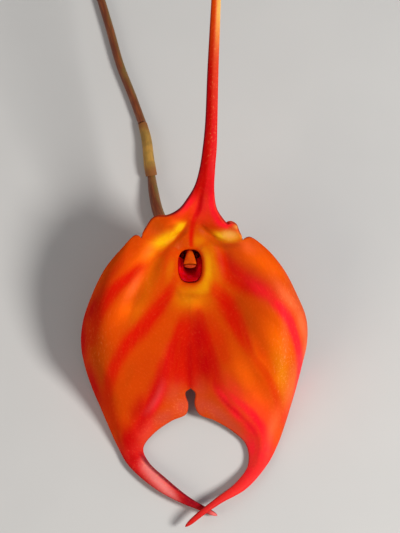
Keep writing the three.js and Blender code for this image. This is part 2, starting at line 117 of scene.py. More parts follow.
def quadratic(values, t):
    """The value at t of the parabola through three values at 0, 1/2 and 1."""
    first, middle, last = values
    return 2 * first * (t - 0.5) * (t - 1) + 4 * middle * t * (1 - t) + 2 * last * t * (t - 0.5)


def profile(values, u):
    """The value at u (0 to 1) of straight lines through evenly spaced values."""
    return np.interp(u, np.linspace(0, 1, len(values)), values)


def spline(points):
    """A centripetal Catmull-Rom curve through points, or through rows of points, as a
    function of 0 to 1 in which every stretch between two of them takes the same time."""
    points = np.asarray(points, float)
    ends = np.concatenate([
        [2 * points[0] - points[1]], points, [2 * points[-1] - points[-2]],
    ])
    gaps = np.linalg.norm(np.diff(ends, axis=0), axis=-1, keepdims=True) ** 0.5
    spans = len(points) - 1

    def at(u):
        place = min(max(u, 0), 1) * spans
        i = min(int(place), spans - 1)
        w = place - i
        a, b, c, d = ends[i : i + 4]
        before, here, after = gaps[i : i + 3]
        start = ((b - a) / before - (c - a) / (before + here) + (c - b) / here) * here
        stop = ((c - b) / here - (d - b) / (here + after) + (d - c) / after) * here
        return (
            b + start * w
            + (3 * (c - b) - 2 * start - stop) * w**2
            + (2 * (b - c) + start + stop) * w**3
        )

    return at


def along_curve(points, count):
    """Evenly timed points on the curve through points."""
    curve = spline(points)
    return np.array([curve(i / (count - 1)) for i in range(count)])


FACE = Matrix.Translation(MOUTH) @ Matrix.Rotation(math.radians(FACE_TILT), 4, "X")
FACE_TURN = np.array(FACE.to_3x3())


def lying(points):
    """Points of the flower's own frame where the flower lies."""
    return np.asarray(points, float) @ FACE_TURN.T + MOUTH


# ---- meshes ----


def make_piece(nodes, rings, material, fields, loop=False):
    """A closed mesh through rings of points, given as [ring, place, xyz] in millimetres
    in the row frame. Its fields are values on the points that its material reads."""
    name = "visual_" + nodes[0]
    count, around = rings.shape[:2]
    index = np.arange(count * around).reshape(count, around)
    lower = index if loop else index[:-1]
    upper = np.roll(index, -1, axis=0) if loop else index[1:]
    sides = np.stack([
        lower, np.roll(lower, -1, axis=1), np.roll(upper, -1, axis=1), upper,
    ], axis=-1)
    faces = sides.reshape(-1, 4).tolist()
    if not loop:  # close both ends by strips across the ring
        half = around // 2
        for ring, turned in ((index[0], True), (index[-1], False)):
            for j in range(half - 1):
                strip = [ring[j], ring[j + 1], ring[around - 2 - j], ring[around - 1 - j]]
                faces.append([int(v) for v in (reversed(strip) if turned else strip)])
    points = rings.reshape(-1, 3)
    corners = points[[face[:3] for face in faces]]
    volume = np.sum(corners[:, 0] * np.cross(corners[:, 1], corners[:, 2]))
    if volume < 0:
        faces = [face[::-1] for face in faces]
    mesh = bpy.data.meshes.new(name)
    mesh.from_pydata((points * MM).tolist(), [], faces)
    mesh.validate()
    mesh.shade_smooth()
    mesh.set_sharp_from_angle(angle=math.radians(SHARP_ANGLE))
    for field, values in fields.items():
        values = np.asarray(values, float)
        kind, key = ("FLOAT_VECTOR", "vector") if values.ndim == 3 else ("FLOAT", "value")
        made = mesh.attributes.new(field, kind, "POINT")
        made.data.foreach_set(key, values.reshape(-1))
    mesh.materials.append(material)
    piece = bpy.data.objects.new(name, mesh)
    bpy.context.scene.collection.objects.link(piece)
    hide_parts(*nodes)
    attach(piece, "root")


# ---- materials ----
# Colours are sRGB, 0 to 255.


def linear(value):
    """A part of an sRGB colour, 0 to 255, as the shader takes it."""
    value /= 255
    return value / 12.92 if value <= 0.04045 else ((value + 0.055) / 1.055) ** 2.4


class Shader:
    """A node material in the making. Its methods return the output socket of a node."""

    def __init__(self, name, **settings):
        self.material = bpy.data.materials.new(name)
        self.material.use_nodes = True
        self.tree = self.material.node_tree
        self.surface = self.tree.nodes["Principled BSDF"]
        for socket, value in settings.items():
            self.surface.inputs[socket.replace("_", " ")].default_value = value

    def node(self, kind, inputs, output=0, **settings):
        made = self.tree.nodes.new("ShaderNode" + kind)
        for key, value in settings.items():
            setattr(made, key, value)
        for key, value in inputs.items():
            if isinstance(value, bpy.types.NodeSocket):
                self.tree.links.new(value, made.inputs[key])
            else:
                made.inputs[key].default_value = value
        return made.outputs[output]

    def field(self, name, output="Fac"):
        return self.node("Attribute", {}, output, attribute_name=name)

    def math(self, operation, a, b=0, clamp=False):
        return self.node("Math", {0: a, 1: b}, operation=operation, use_clamp=clamp)

    def times(self, a, b, clamp=False):
        return self.math("MULTIPLY", a, b, clamp)

    def plus(self, a, b):
        return self.math("ADD", a, b)

    def blend(self, factor, a, b, kind="MIX"):
        """a and b are sockets, or sRGB colours from 0 to 255."""
        a, b = ((*map(linear, v), 1) if isinstance(v, tuple) else v for v in (a, b))
        return self.node(
            "Mix", {0: factor, 6: a, 7: b}, 2, data_type="RGBA", blend_type=kind,
        )

    def stretch(self, vector, scale):
        return self.node("Mapping", {"Vector": vector, "Scale": scale})

    def noise(self, vector, scale, detail=2):
        return self.node("TexNoise", {"Vector": vector, "Scale": scale, "Detail": detail})

    def ramp(self, value, low, high):
        """value turned so that low becomes 0 and high becomes 1, softly."""
        return self.node(
            "MapRange", {0: value, 1: low, 2: high}, interpolation_type="SMOOTHSTEP",
        )

    def finish(self, base, roughness=None, height=None, bump=0.3, distance=0.1):
        inputs = self.surface.inputs
        self.tree.links.new(base, inputs["Base Color"])
        if roughness is not None:
            self.tree.links.new(roughness, inputs["Roughness"])
        if height is not None:
            normal = self.node(
                "Bump", {"Height": height, "Strength": bump, "Distance": distance * MM},
            )
            self.tree.links.new(normal, inputs["Normal"])
        return self.material


ORANGE = (212, 70, 0)
# The paints over the sepals' orange, from the lowest to the uppermost: the field that says
# how much of it there is, its colour, and how far the streaks fray its edges.
# Some paints stand for light: the bright orange is partly painted light, the dark orange-brown is
# painted shade, the salmon is a painted sheen, the cream is a painted highlight, the pale pink is a
# painted gloss and the crimson is partly painted shade.
PAINTS = [
    ("bright_and_painted_light", (252, 100, 4), 1), ("gold", (246, 184, 8), 0.6), ("painted_shade", (176, 66, 0), 1),
    ("nerve", (212, 22, 0), 1.2), ("flush", (255, 28, 44), 1), ("pale", (250, 108, 58), 1),
    ("rose", (210, 74, 50), 1), ("crimson_and_shade_paint", (190, 4, 4), 1), ("behind", (222, 92, 26), 1),
    ("throat", (240, 14, 4), 0.3), ("painted_highlight", (255, 206, 104), 0.6),
    ("painted_pink_gloss", (255, 142, 140), 0.6), ("margin", (96, 6, 34), 0.3),
]
# the colour of the painted glints
GLINT = (255, 190, 120)
CELLS_PER_MM = 4
SHADE = 0.83  # how light the skin is before clouds, flecks and grit lighten it
ROUGHNESS = 0.36
DULLNESS = 0.4  # what the field "dull" adds to the roughness


def fleshy(name, **settings):
    """The shader of living tissue: a waxy skin over flesh that lets some light through."""
    usual = {
        "Subsurface_Weight": 0.2, "Subsurface_Radius": (1, 0.25, 0.1),
        "Subsurface_Scale": 0.5 * MM, "Roughness": 0.5, "Specular_IOR_Level": 0.04,
    }
    return Shader(name, **{**usual, **settings})


def sepal_material():
    """Orange flesh, painted by the fields that the sepal carries, some of them painted light
    and shade, with painted glints, streaks that run along it and a skin of fine cells."""
    shader = fleshy("sepal")
    lie = shader.field("lie", "Vector")
    streaks = shader.noise(shader.stretch(lie, (0.16, 1.5, 1)), 1, 3)
    clouds = shader.noise(shader.node("TexCoord", {}, "Object"), 0.35 / MM, 3)
    fleck = shader.noise(lie, 5, 2)
    grit = shader.noise(lie, 2, 3)
    unrest = shader.times(shader.math("SUBTRACT", streaks, 0.5), 0.5)
    unrest = shader.times(unrest, shader.field("free"))
    base = ORANGE
    for field, paint, fraying in PAINTS:
        ragged = shader.plus(1, shader.times(unrest, fraying))
        base = shader.blend(shader.times(shader.field(field), ragged, clamp=True), base, paint)
    # painted glints: small highlights of the waxy skin, dots and specks laid on by the field
    # sparkle
    cells, luck = (
        shader.node("TexVoronoi", {"Vector": lie, "Scale": CELLS_PER_MM}, output)
        for output in ("Distance", "Color")
    )
    glints = shader.times(shader.ramp(cells, 0.4, 0.1), shader.ramp(luck, 0.5, 0.8))
    glint_specks = shader.times(shader.ramp(grit, 0.54, 0.78), 0.75)
    for light in (glints, glint_specks):
        base = shader.blend(shader.times(light, shader.field("sparkle")), base, GLINT)
    shade = SHADE
    for texture, depth in ((clouds, 0.14), (fleck, 0.06), (grit, 0.14)):
        shade = shader.plus(shade, shader.times(texture, depth))
    shade = shader.node("CombineColor", {0: shade, 1: shade, 2: shade})
    base = shader.blend(1, base, shade, "MULTIPLY")
    roughness = shader.plus(ROUGHNESS, shader.times(fleck, 0.18))
    roughness = shader.plus(roughness, shader.times(shader.field("dull"), DULLNESS))
    grain = shader.plus(cells, shader.times(fleck, 0.8))
    return shader.finish(base, roughness, grain, bump=0.22, distance=0.03)


def plain_material(name, low, high, scale, squeeze=(1, 1, 1), bump=0.3, front=None):
    """Two colours in streaks or clouds, with a bump of the same grain, and perhaps a third
    one over the piece's first half millimetre."""
    shader = fleshy(name)
    lie = shader.field("lie", "Vector")
    cloud = shader.noise(shader.stretch(lie, squeeze), scale, 4)
    base = shader.blend(shader.ramp(cloud, 0.35, 0.65), low, high)
    if front:
        far = shader.node("SeparateXYZ", {0: lie}, 0)
        base = shader.blend(shader.ramp(far, 0.5, 0.3), base, front)
    return shader.finish(base, height=cloud, bump=bump, distance=0.06)


# ---- the sepals' forms ----
# In the flower's own frame: origin at the centre of the mouth, x to the right, y towards
# the dorsal tail, z out of the face.

# The tube's stations: centre, half sizes, and squareness, where 1 is an oval.
TUBE = [
    ((-1.5, 2.5, -9.8), (1.4, 1.4), 1),
    ((-0.8, 1.2, -7.5), (2.5, 3), 1),
    ((-0.2, 0.3, -4), (2.45, 3.25), 0.9),
    ((0, 0, -1.3), (2.15, 2.9), 0.75),
    ((0, 0, -0.2), (2.3, 3.1), 0.75),
    ((0, -0.2, 0), (4, 4.5), 0.95),
]

# The depths of a lateral sepal at its valley, crest and rim, the outward bow of the
# station, and the place of the crest between the inner edge (0) and the outer one (1).
LATERAL_FORM = [
    ((0.15, 0.15, 0.9), 3, 0.55), ((0.3, 0.7, 2.2), 4, 0.55), ((0.35, 1.6, 2.1), 5, 0.62),
    ((0.35, 2.5, 1.2), 5.4, 0.7), ((0.3, 3.15, 0), 5, 0.72),
    ((0.1, 3.4, -1.6), 4.2, 0.7), ((-0.18, 3.25, -3), 3.3, 0.67),
    ((-0.3, 3.07, -4), 2.5, 0.66), ((-0.7, 2.55, -4.6), 1.6, 0.65),
    ((-1, 2, -4.6), 0.8, 0.65), ((-1.15, 1.35, -3.6), 0.3, 0.65),
    ((-0.9, 0.9, -2.4), 0, 0.6), ((-0.3, 0.8, -1.1), 0, 0.55), ((0.9, 1.3, 0.8), 0, 0.5),
    ((2.5, 2.8, 2.5), 0, 0.5), ((3.6, 3.7, 3.6), 0, 0.5), ((4, 4.1, 4), 0, 0.5),
    ((4.2, 4.3, 4.2), 0, 0.5),
]
RIGHT_TAIL_FORWARD = (0.3, 1.1, 1.8, 1.8)  # the right tail crosses over the left one

# The x and y of the inner and then of the outer edge of each lateral sepal.
LEFT_EDGES = [
    (0.1, -7, -5.6, 4.1), (0.1, -10, -8.3, 4.8), (0.1, -13, -9.6, 5.4), (0.1, -15.5, -12, 3.2),
    (0.1, -17.5, -14.9, -0.3), (0.1, -19.5, -17.3, -5), (0.1, -21.3, -18.9, -9.6),
    (-0.75, -22.3, -19.3, -13.6), (-0.25, -24.4, -18.7, -17.4), (-0.7, -26.1, -17.4, -21.4),
    (-3.3, -27.3, -15.8, -25), (-6.2, -29.3, -14.4, -28.2), (-8.1, -31.8, -12.8, -31.6),
    (-7.2, -34.1, -10.8, -34.9), (-4.2, -36.9, -6, -38.9), (-0.6, -39.8, -1.6, -41.2),
    (2, -41.4, 1.5, -42.4), (4.9, -42.9, 4.6, -43.7),
]
RIGHT_EDGES = [
    (0.1, -7, 5.8, 3.9), (0.1, -10, 9, 4.5), (0.1, -13, 10.5, 5.1), (0.1, -15.5, 13.2, 3.4),
    (0.1, -17.5, 16.3, -0.2), (0.1, -19.5, 18.7, -4.6), (0.1, -21.3, 20.55, -9.2),
    (0.85, -22.3, 20.7, -13.4), (0.75, -24.3, 19.8, -17.6), (1.6, -26.1, 18.8, -21.5),
    (4.3, -27.2, 17.7, -25), (7.7, -29.2, 16.6, -28.4), (9.8, -31.3, 15.4, -31.5),
    (10.1, -34.6, 13.6, -34.7), (8, -37.6, 9.8, -38.8), (4.5, -40.2, 5.4, -41.2),
    (1.7, -42.3, 2.6, -43), (-1.1, -44.8, -0.5, -45.4),
]

# The dorsal sepal in front of the mouth, from its left edge over the midrib to the right.
DORSAL_FORM = [
    ((-5.6, 4.1, 0.9), (-3, 5, 0.6), (0.2, 5.5, 0.35), (3.3, 4.9, 0.6), (5.8, 3.9, 0.9)),
    ((-8.3, 4.8, 2.2), (-4.3, 5.5, 1.3), (0.3, 6.3, 0.6), (4.7, 5.1, 1.1), (9, 4.5, 2.2)),
    ((-7.4, 7, 2.6), (-4.3, 6.5, 1.6), (0.4, 7, 0.9), (5, 5.8, 1.3), (8.45, 6.1, 2.4)),
    ((-6.2, 8.4, 2.8), (-3.8, 7.4, 1.9), (0.5, 7.7, 1.3), (4.9, 6.4, 1.6), (7.95, 7.2, 2.6)),
    ((-4.2, 8.5, 2.8), (-2.7, 8.1, 2.2), (0.7, 8.4, 1.7), (4.4, 7, 2), (6.6, 7.1, 2.5)),
    ((-1.9, 9.75, 3), (-0.9, 9.3, 2.6), (1, 9.5, 2.3), (3.9, 8.3, 2.5), (5.8, 7.75, 2.8)),
    ((-0.5, 11.45, 3.6), (0.2, 11.1, 3.3), (1.5, 11.1, 3.2), (3.4, 10.2, 3.4), (4.65, 9.8, 3.5)),
    ((0.8, 14, 4.1), (2.3, 13.7, 4.2), (4.25, 13, 4.1)),
    ((1.6, 16.8, 4.6), (3, 16.7, 4.8), (4.4, 16.6, 4.6)),
    ((2.2, 20.6, 4.8), (3.45, 20.6, 4.9), (4.7, 20.6, 4.8)),
    ((2.6, 24.7, 4.9), (3.7, 24.7, 5), (4.8, 24.7, 4.9)),
    ((3, 34.1, 4.6), (4, 34.1, 4.7), (5, 34.1, 4.6)),
    ((3.7, 46.6, 2.9), (4.55, 46.6, 3), (5.4, 46.6, 2.9)),
    ((4.3, 57, 0.4), (4.9, 57, 0.5), (5.5, 57, 0.4)),
    ((4.75, 64, -1.6), (5, 64, -1.5), (5.25, 64, -1.6)),
]

# Stations: where the dorsal and lateral edges part, where the lateral sepals part from each
# other, and where the tails begin.
SINUS = len(TUBE) + 1
CLEFT = len(TUBE) + 6
LATERAL_TAIL = len(TUBE) + 14
DORSAL_TAIL = len(TUBE) + 8

RIDGE_CUT = 0.14  # softens the ridge where the dorsal sepal meets the lateral ones
RIDGE_REACH = 0.8
RIDGE_STATIONS = (4.5, 5.5)  # between these the ridge begins
PARTING = 0.6  # the stations over which two grown sepals part
SEAM_SHARE = 0.2  # the share of a sepal's width over which a seam's cut turns its sheet
TIP_STATIONS = 0.5  # the stations over which a tail's tip is rounded
LEAST = 0.02  # keeps rounded ends from closing to a point
FAR_OFF = 99  # millimetres, beyond the reach of every margin and seam

ACROSS = np.concatenate([
    MARGIN_PLACES[:-1],
    np.linspace(MARGIN_PLACES[-1], 1 - MARGIN_PLACES[-1], COLUMNS + 1),
    1 - np.array(MARGIN_PLACES[-2::-1]),
])


def tube_rows(start, stop, ring_rise):
    """The tube's stations for the sepal between two angles round it."""
    angle = np.radians(mix(start, stop, ACROSS))
    rows = []
    for i, (centre, half, squareness) in enumerate(TUBE):
        rise = quadratic(ring_rise, ACROSS) if i == len(TUBE) - 1 else 0 * ACROSS
        x, y = (
            size * np.sign(value) * np.abs(value) ** squareness
            for size, value in zip(half, (np.cos(angle), np.sin(angle)))
        )
        rows.append(centre + np.stack([x, y, rise], axis=-1))
    return rows


def rolled(u):
    """0 to 1 along a quarter of an oval: level at first, steep at the end."""
    def drop(x):
        return 1 - np.sqrt(1 - ROLL_STEEPNESS * x * x)

    return drop(u) / drop(1)


def lateral_row(edges, form, forward):
    """A station from a lateral sepal's inner edge over its crest to its rolled rim."""
    inner, outer = array(*edges).reshape(2, 2)
    (valley, crest, rim), bow, crest_at = form
    chord = outer - inner
    outward = unit(array(chord[1], -chord[0])) * np.sign(chord[0])
    climb = np.sin(np.pi / 2 * np.minimum(1, ACROSS / crest_at)) ** CLIMB_POWER
    past = np.maximum(0, (ACROSS - crest_at) / (1 - crest_at))
    roll = rolled(past) if rim < crest else past**2
    flat = inner + np.outer(ACROSS, chord) + np.outer(bow * 4 * ACROSS * (1 - ACROSS), outward)
    depth = mix(valley, crest, climb) + (rim - crest) * roll + forward
    return np.column_stack([flat, depth])


def lateral_rows(side, edges):
    """All stations of a lateral sepal; side is -1 on the left and 1 on the right."""
    top = TUBE_SUTURE_ANGLE - 360 if side < 0 else 180 - TUBE_SUTURE_ANGLE
    forward = np.zeros(len(edges))
    if side > 0:
        forward[-len(RIGHT_TAIL_FORWARD):] = RIGHT_TAIL_FORWARD
    blade = [lateral_row(*row) for row in zip(edges, LATERAL_FORM, forward)]
    return tube_rows(-90, top, (0, RING_RISE / 4, RING_RISE)) + blade


def dorsal_rows():
    """All stations of the dorsal sepal, from left to right across it."""
    rows = tube_rows(
        TUBE_SUTURE_ANGLE, 180 - TUBE_SUTURE_ANGLE, (RING_RISE, RING_RISE / 4, RING_RISE),
    )
    for station in DORSAL_FORM:
        across = spline(station)
        rows.append(np.array([across(t) for t in ACROSS]))
    return rows


def suture_direction(along, s, angle):
    """Which way a suture's cut runs back: out from the tube, then behind the face."""
    on_face = np.clip((s - CUT_TURNS[0]) / (CUT_TURNS[1] - CUT_TURNS[0]), 0, 1)
    out = array(math.cos(math.radians(angle)), math.sin(math.radians(angle)), 0)
    direction = mix(out, array(0, 0, -1), on_face)
    return unit(direction - along * dot(along, direction))


def nearest(points, path, *values):
    """For each point, its distance in the face's plane from a smooth path, and each of
    the values that the path has there."""
    path = along_curve(path, PATH_POINTS)
    u = np.linspace(0, 1, len(path))
    distance = np.linalg.norm(points[..., None, :2] - path[:, :2], axis=-1)
    place = np.argmin(distance, axis=-1)
    return np.min(distance, axis=-1), *(profile(value, u)[place] for value in values)


def beside(points, path):
    """How far each point lies to the left of a smooth path, for one who goes along it."""
    path = along_curve(path, PATH_POINTS)
    ahead = unit(np.gradient(path, axis=0))
    offset = points[..., None, :2] - path
    place = np.argmin(np.linalg.norm(offset, axis=-1), axis=-1)
    offset = np.take_along_axis(offset, place[..., None, None], axis=-2)[..., 0, :]
    return ahead[place][..., 0] * offset[..., 1] - ahead[place][..., 1] * offset[..., 0]


def lines(points, paths, power=2):
    """0 to 1 near soft lines, each given as its path, strengths and half widths."""
    total = np.zeros(points.shape[:-1])
    for path, strengths, widths in paths:
        distance, strength, width = nearest(points, path, strengths, widths)
        total = np.maximum(total, strength * bell(distance, width, power))
    return total


def patches(points, spots):
    """0 to 1 near soft patches, each given as x, y, half sizes, turn and strength."""
    total = np.zeros(points.shape[:-1])
    for x, y, length, breadth, turn, strength in spots:
        c, s = math.cos(math.radians(turn)), math.sin(math.radians(turn))
        dx, dy = points[..., 0] - x, points[..., 1] - y
        distance = np.hypot((dx * c + dy * s) / length, (dy * c - dx * s) / breadth)
        total = np.maximum(total, strength * bell(distance, 1))
    return total


def sepal(name, rows, facing, tail_from, sutures, paint):
    """A thick closed sheet behind a sepal's front surface, with rounded margins.
    sutures gives, for the first and the last edge, the angle round the tube and the
    station up to which the sepal is grown to its neighbour there."""
    surface = spline(rows)
    steps = (len(rows) - 1) * STEPS_PER_STATION
    stations = np.arange(steps + 1) / STEPS_PER_STATION
    front = np.array([surface(s / (len(rows) - 1)) for s in stations])
    along = unit(np.gradient(front, axis=0))
    across = np.gradient(front, axis=1)
    inward = unit(np.cross(along, across)) * facing
    pace = np.linalg.norm(np.diff(front, axis=1), axis=-1)
    reach = np.concatenate([np.zeros((steps + 1, 1)), np.cumsum(pace, axis=1)], axis=1)
    width = reach[:, -1:]
    tail = smoothstep(tail_from - 2, tail_from, stations)[:, None]
    thickness = mix(BLADE_THICKNESS, TAIL_THICKNESS, tail) * np.ones_like(reach)
    place = reach / width
    belly = tail * TAIL_BELLY * np.sqrt(np.clip(1 - (2 * place - 1) ** 2, 0, 1))
    lift = paint.relief(front, stations[:, None], place)

    open_edge = np.zeros_like(reach)
    margin_far = np.full_like(reach, FAR_OFF)
    suture_far = np.full_like(reach, FAR_OFF)
    for edge, (angle, until) in enumerate(sutures):
        grown = 1 - smoothstep(until, until + PARTING, stations)[:, None]
        share = grown * np.clip(1 - np.abs(place - edge) / SEAM_SHARE, 0, 1)
        turned = np.array([suture_direction(a, s, angle) for a, s in zip(along, stations)])
        inward = mix(inward, turned, share[..., None])
        from_edge = np.abs(edge * width - reach)
        if until == SINUS:
            on_face = smoothstep(*RIDGE_STATIONS, stations)[:, None]
            lift = lift - RIDGE_CUT * on_face * grown * np.exp(-from_edge / RIDGE_REACH)
        radius = np.minimum(thickness / 2, width / 3)
        bend = np.clip(1 - from_edge / radius, 0, 1)
        open_edge = np.maximum(open_edge, (1 - np.sqrt(1 - bend**2)) * (1 - grown))
        margin_far = np.minimum(margin_far, from_edge + FAR_OFF * grown)
        suture_far = np.minimum(suture_far, from_edge + FAR_OFF * (1 - grown))
    inward = unit(inward)

    shrink = (thickness - MARGIN_TIP) / 2 * open_edge
    back = front + inward * (thickness + belly - shrink - lift)[..., None]
    face = front + inward * (shrink - belly - lift)[..., None]
    tip = np.clip((stations[-1] - stations) / TIP_STATIONS, 0, 1)[:, None, None]
    rounding = np.sqrt(np.maximum(1 - (1 - tip) ** 2, LEAST))
    middle = (face + back).mean(axis=1, keepdims=True) / 2
    face, back = (middle + (sheet - middle) * rounding for sheet in (face, back))

    distance = np.concatenate([[0], np.cumsum(np.linalg.norm(
        np.diff(front.mean(axis=1), axis=0), axis=-1))])[:, None] * np.ones_like(reach)
    shapes = {
        "points": front, "s": stations[:, None] * np.ones_like(reach), "place": place,
        "margin": margin_far, "suture": suture_far,
    }
    lie = np.stack([distance, reach - width / 2, 0 * reach], axis=-1)
    fields = {"lie": np.concatenate([lie, lie[:, ::-1]], axis=1)}
    for field, values in paint.fields(shapes).items():
        both = values if isinstance(values, tuple) else (values, values)
        fields[field] = np.concatenate([both[0], both[1][:, ::-1]], axis=1)
    rings = lying(np.concatenate([face, back[:, ::-1]], axis=1))
    make_piece([name], rings, SEPAL_SKIN, fields)


# ---- the sepals' drawing ----
# In the face's plane, in millimetres from the centre of the mouth. A line is its path, with
# its strengths and its half widths along it. A patch is its centre's x and y, its half sizes,
# its turn in degrees and its strength.

FOLDS = [  # the two valleys that run down from the midrib beside the mouth
    ([(0.1, 8.1), (-1.1, 6.3), (-2.1, 5.1), (-3.8, 3.3), (-5.4, 1.4), (-6.7, -0.9), (-8, -3.6),
     (-9.4, -7)], (0, 0.7, 1, 1, 0.9, 0.7, 0.4, 0), (0.6, 0.6, 0.6, 0.7, 0.9, 1.1, 1.3, 1.3)),
    ([(1.4, 7.4), (2.6, 6), (3.9, 4.8), (5.3, 2.8), (6.4, -0.6), (7.4, -4.5)],
     (0, 0.7, 0.9, 0.7, 0.4, 0), (0.6, 0.6, 0.8, 1, 1.2, 1.2)),
]
BROW = [  # the gold of the wings ends below along this line
    (-7, -0.2), (-6.1, 0.9), (-4.7, 2.65), (-3.1, 4.3), (-2.1, 5.3), (-1.3, 6.2),
    (-0.4, 7.9), (0.4, 8.4), (1.7, 7.6), (3.4, 5.7), (4.9, 4.4), (6.1, 4), (8.6, 4.1),
]
CUSHION = (0, 0.2, 4.2, 5.4, 0, 1)  # the swelling round the mouth, between the folds

LEFT_NERVES = [
    ([(-7.6, 0.9), (-8.9, -0.4), (-10.7, -2.1), (-12.4, -3.4), (-13.8, -4.9), (-15.1, -6.9),
     (-16.3, -9.3), (-17.1, -13)], (0.2, 0.8, 1, 1, 1, 0.9, 0.8, 0.5),
     (0.8, 1, 1.1, 1.2, 1.3, 1.3, 1.2, 1.1)),
    ([(-2.7, -2.6), (-3.7, -4.7), (-5.9, -7.9), (-8.4, -10.9), (-10.6, -13.3), (-12.3, -16.1),
     (-13.7, -19.2), (-14.4, -23), (-13.4, -28)], (0.3, 0.9, 1, 1, 1, 0.9, 0.8, 0.7, 0.6),
     (0.7, 1.1, 1.4, 1.6, 1.4, 1.2, 1.2, 1.1, 1.3)),
    ([(-1.9, 3.6), (-3.2, 2), (-4.6, 0)], (0.2, 0.45, 0.2), (0.8, 1, 0.8)),
    ([(-4.4, -17.6), (-4.8, -21), (-7.4, -25.6), (-9.6, -30.5), (-9.4, -33.5)],
     (0.6, 1, 1, 1, 0.8), (1.4, 1.6, 1.5, 1.7, 1.5)),
]
RIGHT_NERVES = [
    ([(4.8, 2.8), (5.6, 1.4), (7.6, -1.2), (9.6, -2.9), (11.4, -3.9), (13.6, -5)],
     (0.4, 0.8, 1, 1, 0.9, 0.3), (0.9, 1.4, 2, 2, 1.6, 1.2)),
    ([(3.4, -2.6), (4.3, -3.8), (6.35, -6.5), (7.75, -9.35), (9.7, -13.3), (11, -15.6),
     (13.4, -18.9), (15.1, -22.9), (16, -27)], (0.2, 0.6, 1, 1, 0.8, 0.5, 0.55, 0.55, 0.3),
     (0.7, 1.1, 1.7, 1.7, 1.2, 0.8, 0.8, 0.8, 0.7)),
    ([(3.2, -9.5), (4.5, -12.6), (5.8, -15.8)], (0.3, 0.55, 0.4), (1.4, 2, 1.5)),
    ([(10.4, -11.8), (12.4, -15.2), (14.4, -18.4)], (0, 0.4, 0.2), (0.8, 0.9, 0.9)),
    ([(1.6, -8.2), (2.6, -12.5), (3.6, -16.4), (4.6, -20), (6.2, -23), (8.6, -25.8)],
     (0.5, 1, 0.9, 0.8, 0.5, 0), (0.9, 1.6, 1.6, 1.2, 0.9, 0.9)),
    ([(0.5, -8.5), (0.6, -12), (0.7, -16), (0.6, -20.5)], (0.3, 0.9, 1, 0.9),
     (0.8, 1.2, 1.4, 1.1)),
]
WEDGE = [  # the left sepal is red from this line to the seam
    (-1.2, -6), (-1.9, -8.6), (-3.1, -12.1), (-4.2, -15), (-5.2, -18.5), (-5.9, -21.7),
]
LEFT_TIP = (0.2, -41, 2.8, 1.2, -33, 0.65)  # the dark stretch before the left tail's tip
CREST = [  # the left sepal's crest: painted light on its outer slope, none towards the mouth
    (-5.9, 2.2), (-6.7, 0.7), (-8.7, -3.7), (-10.2, -7.3), (-10.8, -10.7),
]
